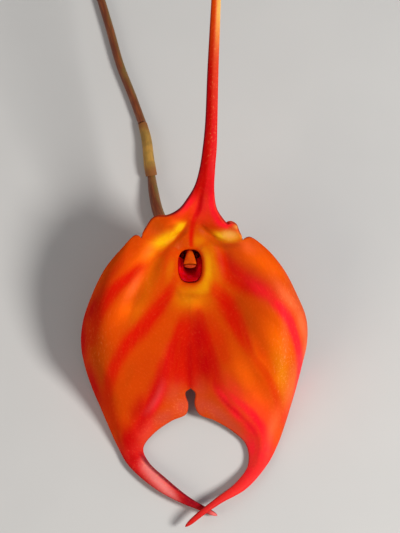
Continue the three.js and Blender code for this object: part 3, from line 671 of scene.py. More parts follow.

# The bright orange patches are mostly painted light on slopes that face the lamp; the rest is the
# flower's own brighter orange.
PATCHES = {"bright_and_painted_light": [
    (-10.9, -7.2, 1.5, 3.2, -32, 1), (-7.8, 1.6, 1.3, 3.6, -38, 1), (-10, -4.4, 1.2, 3.4, -30, 1),
    (-9.2, -1.6, 0.9, 2.2, -32, 0.9), (12.6, 0.6, 1.6, 4.4, 52, 0.9), (15, -12.2, 2, 4, 30, 0.9),
    (9.8, -19.4, 1.7, 4.6, 24, 0.95), (11.6, -23.2, 1.5, 3.6, 30, 0.9),
    (-14.4, -26.5, 1.8, 4.4, 28, 0.3), (1.8, 5.6, 1.6, 1.8, 30, 0.3), (-2.2, 8, 1.6, 0.7, 24, 0.8),
    (8.2, 6.3, 0.5, 0.8, 20, 0.9), (1.1, -7, 1.1, 1.5, 10, 0.9), (12, -16, 1.6, 4, 30, 1),
    (4.9, -4.4, 0.7, 1.2, 30, 0.7), (11.6, -25.6, 2, 5, 30, 1), (15.2, -9, 1.6, 3.6, 38, 0.6),
    (2.4, 10.4, 2, 2.8, -14, 0.9), (-1.4, 9, 0.7, 1.8, -50, 0.8), (-2.8, -5, 1, 1.6, -30, 0.4),
], "gold": [
    (0.2, -5.6, 2.8, 2, 0, 0.42), (1.6, 4.4, 1.4, 1, 20, 0.3), (3.9, 0.4, 1.6, 3.4, 4, 0.35),
    (-3.4, 0.2, 0.8, 2.8, -8, 0.18), (15.9, -18.4, 1.7, 5, 8, 0.27),
    (18.2, -20, 0.7, 2.4, -10, 0.15),
# painted shade: dark orange-brown in the folds, under the wings and on the shaded sides of crests
], "painted_shade": [
    (-1.9, -4.9, 0.5, 1.4, 35, 0.4), (-10.2, -10.4, 2.2, 3.6, -30, 0.25),
    (-5.6, 7, 1.6, 1.8, 30, 0.75), (-3.6, 6.9, 1, 0.4, 5, 0.4), (2.2, 6.4, 1.4, 1.2, -20, 0.7),
    (-1.8, 4.3, 1.3, 1.6, 30, 0.45), (-8, -18.6, 3.6, 5, -20, 0.25), (9.4, -8.4, 1.6, 3.6, 32, 0.5),
    (-8.8, -5.2, 1.4, 2.6, -30, 0.5), (0.2, -5.2, 1.6, 0.6, 0, 0.4), (-10.4, -19, 1, 3, -20, 0.4),
    (-15.2, -16.6, 1.8, 4.6, -6, 0.6),
], "flush": [
    (12.6, -4.3, 1.2, 3, 50, 0.8), (17, -25.6, 0.7, 3.2, -20, 0.4), (6, -23.2, 0.8, 2.6, 36, 0.9),
    (8.2, -25.8, 1, 3, 42, 1), (10.8, -28.4, 1.4, 3.2, 38, 1), (10.6, -31.6, 1.9, 3.2, 10, 1),
    (12.4, -33, 1.8, 3, 20, 1), (10.2, -36, 1.6, 2.6, -30, 1), (-6, -24, 0.7, 3.2, -26, 0.7),
    (-7.6, -28.6, 1.4, 2.6, -30, 0.6), (6.6, 7.2, 0.9, 0.4, 0, 1), (-0.1, 11, 0.7, 2.6, -43, 1),
    (2.4, 10.6, 2, 2.4, -15, 0.7), (13.4, -4.6, 1.4, 3.4, 46, 0.7), (12, -26.2, 2.2, 4.6, 35, 0.55),
    (11.2, -31.5, 3, 3.4, 0, 0.8), (8.4, -22.4, 1.2, 3.6, 36, 0.5),
# painted sheen: salmon where the rims and shoulders face the lamp
], "pale": [
    (17.2, -5.8, 0.9, 3.6, 38, 0.8), (19.6, -10.2, 0.7, 3, 16, 0.9), (20.4, -15, 0.5, 3.4, 0, 0.8),
    (-7.2, 2.6, 0.7, 1.6, -36, 0.3), (-9.8, -3.6, 0.7, 2.6, -30, 0.5),
    (-1.4, -24.9, 1.2, 1.2, -20, 0.5), (4.4, -25.6, 1.6, 0.8, -24, 0.3),
    (17.6, -21.6, 0.9, 3.4, -10, 0.5), (14.6, -27.8, 1, 3.4, -20, 0.5),
    (10.2, 3.2, 1.6, 0.9, -30, 0.4), (7, 5.4, 1, 0.7, 0, 0.7),
], "rose": [  # the dull salmon round the cleft and down to the left tail
    (-1.4, -24.6, 1.4, 1.8, -20, 0.8), (-4.6, -26.6, 2.6, 1.2, 30, 0.8),
    (-2.8, -22.2, 1.6, 2.2, -20, 0.5), (-7.8, -29.4, 1.5, 3, -32, 0.6),
    (2, -24.4, 1.1, 1.8, 0, 0.8), (1.8, -21.4, 1.3, 2, 10, 0.5),
# partly painted shade: the dark red along the left sepal's outer rim and right of the seam stands
# for shade; the rest is the flower's own crimson
], "crimson_and_shade_paint": [
    (1.6, -12.6, 1.6, 4.8, 8, 1), (2.5, -17.2, 2.2, 3.8, 8, 1), (-2.2, -15.5, 2, 4.4, -6, 0.3),
    (-15.6, -4.6, 1, 3.4, -34, 0.5), (-13.6, -17.6, 1, 3.6, -22, 0.35), (-18.9, -13, 1.2, 7, 0, 1),
    (-17.2, -7.6, 1, 3.6, -24, 0.9), (-16.9, -20.8, 1.1, 5.6, 18, 1), (-9, -25, 1.4, 3.2, -24, 0.8),
    (-6.6, -21, 1, 2.8, -20, 0.5), (-10.8, -30.4, 1.9, 3, 10, 1), (-13.6, -1.4, 0.7, 3.4, -36, 0.5),
    (4.2, -20.4, 0.8, 2.4, 24, 0.5), (-12.6, -33.4, 1.6, 2.4, 20, 0.9),
    (-10.2, -33.6, 1.6, 2, 30, 0.8), (-7.4, -18.6, 4.2, 5.4, -20, 0.16),
    (-18.6, -9, 1, 4, -14, 0.9),
# painted gloss near the left tail's tip
], "painted_pink_gloss": [
    (4.2, -43.1, 1, 0.45, -25, 0.7),
# painted highlights on the right wing
], "painted_highlight": [
    (6.9, 5.5, 1.2, 0.7, 0, 0.5), (8.1, 6.8, 0.6, 0.4, 0, 0.4),
# where the painted glints are strongest
], "sparkle": [
    (16.6, -17.6, 2, 6, 5, 0.35), (-1.8, -24.8, 2, 1.6, -20, 0.25), (-5.4, -27, 3, 1, 34, 0.15),
    (3.4, -25.2, 3, 1.2, -24, 0.15), (17.6, -6, 1.6, 4, 38, 0.2), (-16.5, -14, 2.6, 5, -8, 0.12),
    (6.9, 5.4, 1.6, 0.9, 8, 0.4), (-6, -36.6, 4, 1.2, -38, 0.4),
]}
WING_GOLD = [
    (-1.8, 6.5, 1.8, 0.85, 52, 1.3), (-4.7, 4.5, 2.2, 1, 34, 1.2), (-3, 5.3, 1.4, 0.8, 42, 1.2),
    (6.8, 5.3, 1.7, 1, 0, 1.1), (5.2, 5.2, 1.2, 0.7, -20, 1.1), (-6.6, 2.6, 1, 2.2, -38, 0.3),
]
LINES = {"gold": [  # round the mouth, from its upper right to its lower left
    ([(2.4, 3.6), (3.1, 1.4), (3.2, -1.2), (2.8, -3.3), (1.2, -4.6), (-0.8, -4.6), (-2.2, -3.8)],
     (0.15, 0.5, 0.65, 0.6, 0.46, 0.32, 0.1), (0.9, 1, 1, 1.2, 1.2, 1.1, 0.9)),
], "painted_shade": [  # painted shade inside the left fold and under the right wing
    ([(-0.2, 7.2), (-0.9, 5.8), (-2.2, 4.3), (-3.8, 2.5), (-5.6, -0.6), (-7, -4)],
     (0, 0.56, 0.64, 0.48, 0.32, 0), (0.35, 0.4, 0.45, 0.6, 0.8, 0.9)),
    ([(1.6, 6.8), (2.6, 5.4), (3.5, 4.5), (4.7, 3.7), (6.1, 3.4), (8.4, 3.6)],
     (0.24, 0.4, 0.48, 0.56, 0.56, 0.32), (0.5, 0.6, 0.5, 0.45, 0.4, 0.4)),
], "flush": [
    ([(5.6, -20.6), (7.8, -23.1), (10.6, -25.6), (12.8, -28.8), (13.2, -32)], (0.2, 0.8, 1, 1, 1),
     (0.6, 1, 1.3, 1.5, 1.5)),
    ([(4.1, 16), (3.7, 12.6), (3.9, 9.8), (5.1, 7.6), (6.4, 6.8)], (1,) * 5,
     (0.9, 0.9, 0.8, 0.6, 0.4)),
    ([(-3.8, -14), (-4.4, -17.6), (-5.6, -21.4), (-7.4, -25.4), (-8.8, -28.6)],
     (0.1, 0.15, 0.2, 0.2, 0.3), (1, 1.1, 1, 1, 1)),
], "rose": [
    ([(3, -24.4), (5.2, -26.1), (7.7, -28.2), (9.6, -30.6)], (0.7, 0.9, 0.8, 0.5),
     (1.2, 1, 0.9, 0.7)),
], "crimson_and_shade_paint": [
    ([(4.4, -21.7), (6.6, -24.2), (9.4, -26.7), (11.6, -29.6), (12, -31.8), (11.2, -35)],
     (0.3, 0.6, 0.35, 0.3, 0.3, 0.2), (0.35,) * 6),
    ([(-4.6, -16.8), (-5.8, -21.4), (-7.6, -25.4), (-9, -28.6)], (0.45, 0.95, 0.85, 0.6),
     (1.1,) * 4),
    ([(0, -10.2), (0, -14), (0, -18), (0, -21)], (0.2, 0.8, 0.9, 0.8), (0.5, 0.9, 0.9, 0.6)),
    ([(0.6, 8), (1.6, 9.9), (2, 12.2), (2.7, 15), (3.3, 19)], (0, 0.8, 1, 0.9, 0.4),
     (0.4, 0.5, 0.55, 0.45, 0.4)),
], "painted_pink_gloss": [  # a painted highlight along a fine ridge and painted gloss on the face of the left tail
    ([(-4.5, -19.2), (-5.2, -21.8), (-6.6, -24.4), (-8.4, -26.6)], (0, 0.1, 0.1, 0), (0.6,) * 4),
    ([(-8.7, -33.2), (-7.6, -35), (-6, -36.9), (-4.1, -38.8), (-3, -39.7), (-1.8, -40.9)],
     (0, 0.85, 0.9, 0.9, 0.8, 0.2), (0.6, 0.95, 0.95, 0.8, 0.6, 0.4)),
]}
FLUSH_BAND = [  # the one crisp band, along the right sepal's outer side
    ([(13, -4.8), (15, -6.5), (16.3, -7.9), (17.3, -9.4), (18, -11.2), (18.8, -13.8),
     (19.2, -15.9), (19.3, -18.2), (18.9, -20.8), (18.2, -23.5)],
     (0.4, 0.9, 1, 1, 1, 1, 1, 1, 0.9, 0.5), (0.8, 1.1, 1.1, 1, 0.9, 0.8, 0.75, 0.7, 0.6, 0.5)),
]

CUSHION_HEIGHT = 0.5
FOLD_DEPTH = 0.9
NERVE_DEPTH = 0.08
NERVE_FADE = 0.12  # the share of the width, at each edge, over which the nerves level out


def relief(points, s, place, nerves):
    """How far the skin stands forward: the swelling round the mouth, the folds beside it
    and the nerves, which are sunken except where sepals meet."""
    on_face = smoothstep(5, 6.5, s) * np.ones(points.shape[:-1])
    inside = smoothstep(0, NERVE_FADE, place) * smoothstep(1, 1 - NERVE_FADE, place)
    cushion = CUSHION_HEIGHT * patches(points, [CUSHION])
    folds = FOLD_DEPTH * lines(points, FOLDS)
    return on_face * (cushion - folds - NERVE_DEPTH * inside * lines(points, nerves))


CRISP = 3  # the power of lines with firmer edges
# the least share of painted glints, all over the skin
SPARKLE_EVERYWHERE = 0.04


def lay(fields, name, values):
    """Raises a field to the values where they are above it."""
    fields[name] = np.maximum(fields[name], values)


def face_fields(shapes, nerves):
    """The fields that all three sepals have on the face and in the tube."""
    points, s = shapes["points"], shapes["s"]
    fields = {
        name: np.maximum(patches(points, spots), lines(points, LINES.get(name, ())))
        for name, spots in PATCHES.items()
    }
    below_brow = smoothstep(-0.35, 0.1, beside(points, BROW))
    lay(fields, "gold", patches(points, WING_GOLD) * below_brow)
    lay(fields, "flush", lines(points, FLUSH_BAND, CRISP))
    fields["nerve"] = lines(points, nerves, CRISP)
    fields["sparkle"] += SPARKLE_EVERYWHERE
    on_face = smoothstep(4, 4.5, s)
    fields = {name: values * on_face for name, values in fields.items()}
    fields["behind"] = (0 * s, 0.5 * on_face)
    fields["throat"] = (1 - smoothstep(3.2, 3.7, s), 0 * s)
    fields["margin"] = 0.5 * bell(shapes["margin"], 0.1)
    fields["free"] = smoothstep(0.1, 2, shapes["suture"])  # the streaks are calm at a seam
    fields["dull"] = 0 * s
    return fields


class LateralPaint:
    """The relief and the fields of a lateral sepal."""

    def __init__(self, side, nerves):
        self.side = side
        self.nerves = nerves

    def relief(self, points, s, place):
        return relief(points, s, place, self.nerves)

    def fields(self, shapes):
        fields = face_fields(shapes, self.nerves)
        s, place = shapes["s"], shapes["place"]
        tail = smoothstep(LATERAL_TAIL - 3, LATERAL_TAIL - 1, s)
        lay(fields, "flush", 0.8 * tail)
        lay(fields, "crimson_and_shade_paint", 0.7 * smoothstep(LATERAL_TAIL - 1, LATERAL_TAIL + 2, s))
        if self.side > 0:
            # a faint painted gloss on the right tail
            fields["painted_pink_gloss"] = 0.04 * tail
            return fields
        points = shapes["points"]
        y = points[..., 1]
        wedge = smoothstep(-0.7, 0.7, beside(points, WEDGE))
        wedge = wedge * smoothstep(-6.5, -11, y) * smoothstep(-22.5, -19.5, y)
        lay(fields, "nerve", 0.95 * wedge)
        crest = beside(points, CREST)
        high = smoothstep(-13, -9, y)
        # the painted light of the crest stops on its side towards the mouth
        fields["bright_and_painted_light"] *= 1 - 0.7 * high * smoothstep(-0.3, 0.4, crest)
        lay(fields, "gold", 0.14 * high * bell(crest - 1.2, 1.2) * smoothstep(2.5, 0.5, y))
        fields["dull"] = 1 - tail
        lay(fields, "crimson_and_shade_paint", tail * smoothstep(0.5, 1, place))
        edge = smoothstep(0.3, 0.13, place) * smoothstep(LATERAL_TAIL - 2, LATERAL_TAIL - 1, s)
        lay(fields, "margin", 0.8 * edge)
        lay(fields, "margin", patches(points, [LEFT_TIP]))
        return fields


class DorsalPaint:
    """The relief and the fields of the dorsal sepal."""

    MIDRIB = [
        ([(0.25, 3.2), (0.2, 5), (0.35, 6.6), (0.8, 8.2), (1.6, 9.9), (2, 12.2),
          (2.7, 15), (3.4, 19), (3.7, 24), (4.7, 50), (5, 64)],
         (0.8, 1, 1, 1, 1, 0.9, 0.6, 0.3, 0, 0, 0),
         (0.42, 0.48, 0.55, 0.65, 0.8, 0.8, 0.7, 0.6, 0.6, 0.6, 0.6)),
    ]

    def relief(self, points, s, place):
        off_tail = 1 - smoothstep(DORSAL_TAIL - 1, DORSAL_TAIL + 1, s)
        return off_tail * relief(points, s, place, self.MIDRIB)

    def fields(self, shapes):
        fields = face_fields(shapes, self.MIDRIB)
        points, place = shapes["points"], shapes["place"]
        x, y = points[..., 0], points[..., 1]
        neck = smoothstep(-0.6, 0.9, y - 7.3 - 0.3 * np.maximum(0, -x) + 0.2 * np.maximum(0, x))
        tail = smoothstep(10, 14, y)
        far = smoothstep(30, 48, y)
        # The tail's right side faces the lamp: there it is painted pinker and salmon as painted
        # light, with a painted highlight near the top, and its left side darker crimson as painted
        # shade.
        right = smoothstep(0.35, 0.6, place)
        lit = smoothstep(0.45, 0.72, place)
        neck = neck * (1 - smoothstep(16, 36, y))
        fields["gold"] *= 1 - 0.7 * neck
        lay(fields, "bright_and_painted_light", 0.8 * far)
        lay(fields, "nerve", 0.55 * neck)
        lay(fields, "flush", 0.8 * tail * (1 - far) * right)
        lay(fields, "pale", 0.8 * smoothstep(22, 40, y) * right)
        lay(fields, "crimson_and_shade_paint", tail * (1 - 0.45 * right) * (1 - 0.6 * far))
        lay(fields, "painted_highlight", 0.7 * smoothstep(35, 46, y) * lit)
        fields["sparkle"] += 0.2 * smoothstep(15, 24, y) * smoothstep(0.25, 0.5, place)
        # painted shade: a dark line along the left rim, on the side away from the lamp
        shaded_left_rim = bell(shapes["margin"], 0.3) * smoothstep(8.2, 9.2, y) * (1 - right)
        fields["margin"] *= 1 - tail
        lay(fields, "margin", 0.8 * shaded_left_rim * (1 - 0.65 * far))
        return fields


SEPAL_SKIN = sepal_material()


def make_sepals():
    for side, name, edges, nerves in (
        (-1, "lateral_sepal_left", LEFT_EDGES, LEFT_NERVES),
        (1, "lateral_sepal_right", RIGHT_EDGES, RIGHT_NERVES),
    ):
        top = TUBE_SUTURE_ANGLE if side < 0 else 180 - TUBE_SUTURE_ANGLE
        sepal(name, lateral_rows(side, edges), -side, LATERAL_TAIL,
              [(-90, CLEFT), (top, SINUS)], LateralPaint(side, nerves))
    sepal("dorsal_sepal", dorsal_rows(), 1, DORSAL_TAIL,
          [(TUBE_SUTURE_ANGLE, SINUS), (180 - TUBE_SUTURE_ANGLE, SINUS)], DorsalPaint())


# ---- round parts ----


def sweep(points, sizes, steps, up=(0, 0, 1), shape=None, sides=ROUND_SIDES):
    """Oval sections along the smooth curve through points. sizes(u) gives half width and
    half height; shape(u, angle) scales the section and moves it along the curve."""
    curve = spline(points)
    angle = -np.pi / 2 + (np.arange(sides) + 0.5) * 2 * np.pi / sides
    rings, lie, length = [], [], 0.0
    before = curve(0)
    for i in range(steps + 1):
        u = i / steps
        here = curve(u)
        length += float(np.linalg.norm(here - before))
        before = here
        along = unit(curve(min(1, u + NUDGE)) - curve(max(0, u - NUDGE)))
        side = unit(np.cross(along, up))
        lift = np.cross(side, along)
        width, height = sizes(u)
        scale, ahead = shape(u, angle) if shape else (np.ones(sides), np.zeros(sides))
        rings.append(
            here + np.outer(width * scale * np.cos(angle), side)
            + np.outer(height * scale * np.sin(angle), lift) + np.outer(ahead, along)
        )
        # the grain wraps round the section, so that it has no seam
        lie.append(np.column_stack([
            np.full(sides, length), width * np.cos(angle), height * np.sin(angle),
        ]))
    return np.array(rings), np.array(lie)


def rounded_end(u, reach):
    """Scales a section down to almost nothing over the last `reach` of u."""
    return math.sqrt(max(1 - max(0, 1 - (1 - u) / reach) ** 2, LEAST / 2))


UP_THE_FACE = (0, 1, 0)
COLUMN_PATH = [
    (-1.58, 2.62, -10.2), (-0.9, 2.6, -7.5), (-0.3, 2.55, -4.4), (-0.05, 2.6, -2.9),
    (0, 2.1, -1.6), (0, 0.35, -1),
]
COLUMN_HALF_WIDTHS = (0.8, 0.55, 0.42, 0.4, 0.62, 1.15)
COLUMN_HALF_HEIGHTS = (0.75, 0.6, 0.5, 0.45, 0.4, 0.36)


def make_column():
    rings, lie = sweep(
        COLUMN_PATH,
        lambda u: (profile(COLUMN_HALF_WIDTHS, u), profile(COLUMN_HALF_HEIGHTS, u)),
        steps=60, up=UP_THE_FACE,
    )
    skin = plain_material("column", (206, 74, 4), (218, 92, 10), 1)
    make_piece(["column"], lying(rings), skin, {"lie": lie})


CAP_SIZE = (1.04, 0.36, 0.45)
CAP_WALL_SHARE = 0.62
CAP_LATITUDES = np.linspace(88, 0, 10)
POLLINIUM_SIZE = (0.156, 0.108, 0.12)
POLLINIUM_SIDES = 16
POLLINIUM_SPREAD = 0.25
POLLINIUM_LIFT = 0.06


def tip_frame(distance):
    """The place and the axes at the column's tip; the last axis runs on out of it."""
    tip, before = array(*COLUMN_PATH[-1]), array(*COLUMN_PATH[-2])
    onward = unit(tip - before)
    side = array(1, 0, 0)
    return tip + onward * distance, np.array([side, np.cross(onward, side), onward])


def oval(size, latitude, sides):
    """The ring of an oval body at one latitude; the last half size is along its axis."""
    turn = np.arange(sides) * 2 * np.pi / sides
    flat, high = math.cos(math.radians(latitude)), math.sin(math.radians(latitude))
    return np.column_stack([
        size[0] * flat * np.cos(turn), size[1] * flat * np.sin(turn),
        np.full(sides, size[2] * high),
    ])


def make_anther():
    """The anther cap is a small cup over the column's tip, with two pollinia under it."""
    place, axes = tip_frame(SEAT_GAP)
    outside = [(1, a) for a in CAP_LATITUDES]
    inside = [(CAP_WALL_SHARE, a) for a in CAP_LATITUDES[::-1]]
    rings = np.array([
        place + oval(share * array(*CAP_SIZE), latitude, ROUND_SIDES) @ axes
        for share, latitude in outside + inside
    ])
    skin = plain_material("anther_cap", (176, 44, 12), (194, 68, 28), 3)
    make_piece(["anther_cap"], lying(rings), skin, {"lie": rings})
    wax = plain_material("pollinia", (226, 186, 84), (240, 214, 130), 6)
    place, axes = tip_frame(SEAT_GAP + POLLINIUM_LIFT)
    for side, name in ((-1, "pollinium_left"), (1, "pollinium_right")):
        aside = array(side * POLLINIUM_SPREAD, 0, 0)
        grain = np.array([
            place + (oval(POLLINIUM_SIZE, latitude, POLLINIUM_SIDES) + aside) @ axes
            for latitude in np.linspace(-88, 88, 11)
        ])
        make_piece([name], lying(grain), wax, {"lie": grain})


LIP_THICKNESS = 0.6
LIP_STEPS = 60
LIP_COLUMNS = 80
LIP_MARGIN = 0.06  # the share of the half width over which a margin is rounded
LIP_KEEL = [
    (-0.95, 0.45, -8.4), (-0.5, -0.3, -6.2), (-0.18, -0.9, -4.4), (-0.03, -1.45, -2.8),
    (0, -2.64, -0.62),
]
LIP_HALF_WIDTHS = (0.5, 0.9, 1.2, 1.5, 1.9)
LIP_CURVES = (0.35, 0.7, 1.2, 1.7, 2.1)
LIP_WALLS = (0, 0.1, 0.4, 1.1, 2.2)
LIP_WALL_SHARE = 0.3
LIP_SQUARENESS = 0.8
LIP_SLANT = 0.42


def lip_material():
    """Crimson, with a painted shadow below the column."""
    shader = fleshy("lip", Subsurface_Weight=1, Subsurface_Scale=2 * MM)
    lie = shader.field("lie", "Vector")
    cloud = shader.noise(lie, 0.9, 4)
    base = shader.blend(shader.ramp(cloud, 0.35, 0.65), (214, 4, 4), (244, 12, 40))
    # painted shadow: the lip is darker deep in the tube and in its middle, below the column
    depth = shader.ramp(shader.node("SeparateXYZ", {0: lie}, 2), -1.9, -3)
    aside = shader.math("ABSOLUTE", shader.node("SeparateXYZ", {0: lie}, 0))
    below = shader.times(depth, shader.ramp(aside, 1.5, 0.9))
    base = shader.blend(below, base, (170, 6, 2))
    return shader.finish(base, height=cloud, distance=0.06)


def make_lip():
    """A trough with a rounded floor, upright walls and round margins."""
    keel = spline(LIP_KEEL)
    across = np.linspace(-1, 1, LIP_COLUMNS + 1)
    turn = np.pi / 2 * np.minimum(1, np.abs(across) / (1 - LIP_WALL_SHARE))
    up = np.maximum(0, (np.abs(across) - 1 + LIP_WALL_SHARE) / LIP_WALL_SHARE)
    spread = np.sin(turn) ** LIP_SQUARENESS * np.sign(across)
    drop = np.maximum(0, np.cos(turn)) ** LIP_SQUARENESS
    edge = np.clip(1 - (1 - np.abs(across)) / LIP_MARGIN, 0, 1)
    half = LIP_THICKNESS / 2 * np.sqrt(np.maximum(1 - edge**2, LEAST))
    rings = []
    for u in np.linspace(0, 1, LIP_STEPS + 1):
        at = keel(u)
        width, curve, wall = (
            profile(values, u) for values in (LIP_HALF_WIDTHS, LIP_CURVES, LIP_WALLS)
        )
        tip = rounded_end(u, 0.05)
        both = []
        for offset in (-half * tip, half * tip):
            rise = curve - (curve + offset) * drop + wall * up
            both.append(np.column_stack([
                at[0] + (width + offset) * spread, at[1] + rise, at[2] - LIP_SLANT * rise,
            ]))
        rings.append(np.concatenate([both[0], both[1][::-1]]))
    rings = np.array(rings)
    make_piece(["lip"], lying(rings), lip_material(), {"lie": rings})


PETAL_THICKNESS = 0.6
PETAL_PATH = [(1.3, 2.1, -8.6), (1.5, 1.9, -6.4), (1.5, 2, -4.8), (1.25, 2, -3.4)]
PETAL_LEAN = (-1.15, -0.55, -0.25, -0.05)
PETAL_HALF_WIDTHS = (0.4, 0.6, 0.6, 0.45)


def make_petals():
    skin = plain_material("petals", (84, 6, 4), (128, 16, 8), 1.4)
    for side, name in ((-1, "petal_left"), (1, "petal_right")):
        path = [(side * x + lean, y, z) for (x, y, z), lean in zip(PETAL_PATH, PETAL_LEAN)]

        def sizes(u):
            end = rounded_end(u, 0.08)
            return PETAL_THICKNESS / 2 * end, profile(PETAL_HALF_WIDTHS, u) * end

        rings, lie = sweep(path, sizes, steps=48, up=UP_THE_FACE)
        make_piece([name], lying(rings), skin, {"lie": lie})


# ---- the stalk ----
# Its points are given where it lies: x and y from below the mouth, z from the surface.

BELOW_MOUTH = array(MOUTH[0], MOUTH[1], 0)


def from_face(*points):
    """Points of the flower's own frame, given from below the mouth like the stalk's."""
    return [tuple(p) for p in lying(points) - BELOW_MOUTH]


OVARY_PATH = from_face(
    (-1.55, 2.6, -10.75), (-1.7, 2.8, -11.2), (-2.6, 4, -12.2), (-4.3, 6.3, -13.2),
)
OVARY_RADII = (1.8, 1.35, 1.3, 1.35, 1.3, 1.2, 1)
OVARY_GROOVE = 0.07
OVARY_RIBS = 6
BRACT_PATH = [(-7.1, 21.8, 1.08), (-7.5, 24.3, 1.08), (-7.95, 28.4, 0.97), (-8.7, 31.6, 0.87)]
BRACT_RADII = (1.04, 1.04, 0.95, 0.9, 0.82)
BRACT_STEPS = 60
BRACT_WALL = 0.2
BRACT_SLANT = 0.8  # how much further its mouth reaches on the upper side
PEDICEL_PATH = from_face((-4.6, 6.7, -13.4)) + [(-5.9, 14.4, 2), (-6.7, 18.6, 1.32)] + BRACT_PATH
PEDICEL_RADII = (1.05, 1, 0.9, 0.68, 0.6, 0.5, 0.42)
PEDUNCLE_RADIUS = 0.74
PEDUNCLE_PATH = [
    (x, y, PEDUNCLE_RADIUS) for x, y in (
        (-8.8, 31.9), (-10.6, 37.1), (-12.95, 43.5), (-14.7, 50), (-16.4, 56),
        (-18.3, 62.2), (-20.4, 68.8), (-22.81, 75.47),
    )
]


def stem_material():
    """Red-brown on one flank and olive on the other, in long streaks."""
    shader = Shader("stem", Subsurface_Weight=0.08, Subsurface_Radius=(1, 0.4, 0.2),
                    Subsurface_Scale=0.4 * MM, Roughness=0.46, Coat_Weight=0.08)
    lie = shader.field("lie", "Vector")
    streaks = shader.noise(shader.stretch(lie, (0.35, 3.2, 3.2)), 1, 4)
    patch = shader.noise(shader.stretch(lie, (0.16, 0.4, 0.4)), 1, 2)
    flank = shader.node("SeparateXYZ", {0: lie}, 1)
    green = shader.plus(shader.times(flank, 0.42), patch)
    base = shader.blend(shader.ramp(green, 0.42, 0.92), (108, 46, 16), (114, 94, 40))
    base = shader.blend(shader.ramp(streaks, 0.42, 0.7), base, (140, 74, 30))
    speck = shader.noise(lie, 7, 2)
    base = shader.blend(shader.ramp(speck, 0.62, 0.74), base, (74, 30, 16))
    return shader.finish(base, height=shader.plus(streaks, speck), bump=0.35, distance=0.08)


def bract_material():
    """A dry papery sheath, ochre with brown veins and a darker mouth."""
    shader = Shader("bract", Roughness=0.62)
    lie = shader.field("lie", "Vector")
    veins = shader.noise(shader.stretch(lie, (0.15, 4, 4)), 1, 3)
    blotch = shader.noise(lie, 0.7, 3)
    base = shader.blend(shader.ramp(blotch, 0.35, 0.65), (148, 114, 46), (182, 138, 56))
    base = shader.blend(shader.ramp(veins, 0.5, 0.75), base, (136, 84, 34))
    base = shader.blend(shader.field("tanned"), base, (132, 72, 24))
    return shader.finish(base, height=veins, bump=0.5)


def make_stalk():
    ovary_skin = plain_material(
        "ovary", (110, 74, 26), (150, 116, 48), 1, (0.4, 2.5, 2.5), 0.4,
        front=(70, 8, 4))
    stem = stem_material()

    def ribs(u, angle):
        depth = OVARY_GROOVE * float(smoothstep(0.05, 0.3, u))
        return 1 - depth * (0.5 + 0.5 * np.cos(OVARY_RIBS * angle + np.pi)), 0 * angle

    rings, lie = sweep(
        OVARY_PATH, lambda u: (profile(OVARY_RADII, u),) * 2, steps=70, shape=ribs)
    make_piece(["ovary"], rings + BELOW_MOUTH, ovary_skin, {"lie": lie})

    for name, path, radii, steps in (
        ("pedicel", PEDICEL_PATH, PEDICEL_RADII, 160),
        ("peduncle", PEDUNCLE_PATH, (PEDUNCLE_RADIUS,), 260),
    ):
        rings, lie = sweep(path, lambda u: (profile(radii, u),) * 2, steps)
        make_piece([name], rings + BELOW_MOUTH, stem, {"lie": lie})

    walls = []
    for inset in (0, BRACT_WALL):
        walls.append(sweep(
            BRACT_PATH, lambda u: (profile(BRACT_RADII, u) - inset,) * 2, BRACT_STEPS,
            shape=lambda u, angle: (
                np.ones_like(angle),
                -BRACT_SLANT * (1 - u) ** 6 * (1 + np.sin(angle)) / 2,
            ),
        ))
    rings = np.concatenate([walls[0][0], walls[1][0][::-1]])
    lie = np.concatenate([walls[0][1], walls[1][1][::-1]])
    u = np.linspace(0, 1, BRACT_STEPS + 1)
    tanned = np.maximum(1 - smoothstep(0.05, 0.3, u), smoothstep(0.75, 1, u)) * 0.85
    tanned = np.repeat(np.concatenate([tanned, tanned[::-1]])[:, None], ROUND_SIDES, axis=1)
    make_piece(["floral_bract"], rings + BELOW_MOUTH, bract_material(),
               {"lie": lie, "tanned": tanned}, loop=True)


# ---- the camera, the lights and the floor ----

VIEW_DISTANCE = 518  # from the mouth's plane to the camera
VIEW_CENTRE = (1.75, -0.09)  # the point of that plane in the middle of the picture
LENS = 200
# Name, direction in the flower's frame, distance, size, watts and tint.
LIGHTS = [
    ("key", (0.71, -0.06, 0.7), 0.5, 0.14, 2.4, (1, 0.95, 0.88)),
    ("fill", (-0.78, -0.26, 0.6), 0.6, 0.4, 1.1, (1, 0.86, 0.7)),
]
FLOOR_HALF = 3
SKY = (0.92, 0.95, 1, 1)
SKY_STRENGTH = 0.22


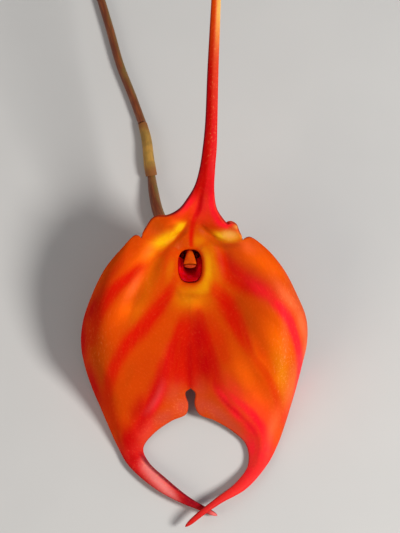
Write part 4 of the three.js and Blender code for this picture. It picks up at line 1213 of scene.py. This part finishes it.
def make_camera():
    camera = bpy.data.cameras.new("camera")
    camera.sensor_fit = "VERTICAL"
    camera.sensor_height = 36
    camera.lens = LENS
    camera.clip_start, camera.clip_end = 0.01, 10
    eye = bpy.data.objects.new("camera", camera)
    seat = Matrix.Translation((*VIEW_CENTRE, VIEW_DISTANCE))
    place = FACE @ seat
    place.translation *= MM
    eye.matrix_world = place
    bpy.context.scene.collection.objects.link(eye)
    bpy.context.scene.camera = eye


def make_light(name, direction, distance, size, watts, tint):
    """An area light in a direction of the flower's frame, turned to the flower."""
    light = bpy.data.lights.new(name, "AREA")
    light.shape = "DISK"
    light.size = size
    light.energy = watts
    light.color = tint
    toward = (FACE.to_3x3() @ Vector(direction)).normalized()
    lamp = bpy.data.objects.new(name, light)
    lamp.location = Vector(MOUTH) * MM + toward * distance
    lamp.rotation_euler = (-toward).to_track_quat("-Z", "Y").to_euler()
    bpy.context.scene.collection.objects.link(lamp)


def make_room():
    for light in LIGHTS:
        make_light(*light)
    shader = Shader("floor", Roughness=0.85)
    coordinates = shader.node("TexCoord", {}, "Object")
    speck = shader.noise(coordinates, 60)
    base = shader.blend(speck, (206, 208, 210), (212, 214, 216))
    mesh = bpy.data.meshes.new("floor")
    corners = np.array([(-1, -1, 0), (1, -1, 0), (1, 1, 0), (-1, 1, 0)]) * FLOOR_HALF
    mesh.from_pydata(corners.tolist(), [], [(0, 1, 2, 3)])
    mesh.materials.append(shader.finish(base))
    floor = bpy.data.objects.new("floor", mesh)
    bpy.context.scene.collection.objects.link(floor)
    floor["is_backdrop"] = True
    world = bpy.data.worlds.new("room")
    world.use_nodes = True
    sky = world.node_tree.nodes["Background"]
    sky.inputs["Color"].default_value = SKY
    sky.inputs["Strength"].default_value = SKY_STRENGTH
    bpy.context.scene.world = world
    bpy.context.scene.view_settings.view_transform = "Standard"


make_camera()
make_room()
make_sepals()
make_column()
make_anther()
make_lip()
make_petals()
make_stalk()

boxes = {"cad": CAD_BOX, "visual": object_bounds()}
{k: [list(map(float, corner)) for corner in box] for k, box in boxes.items()}
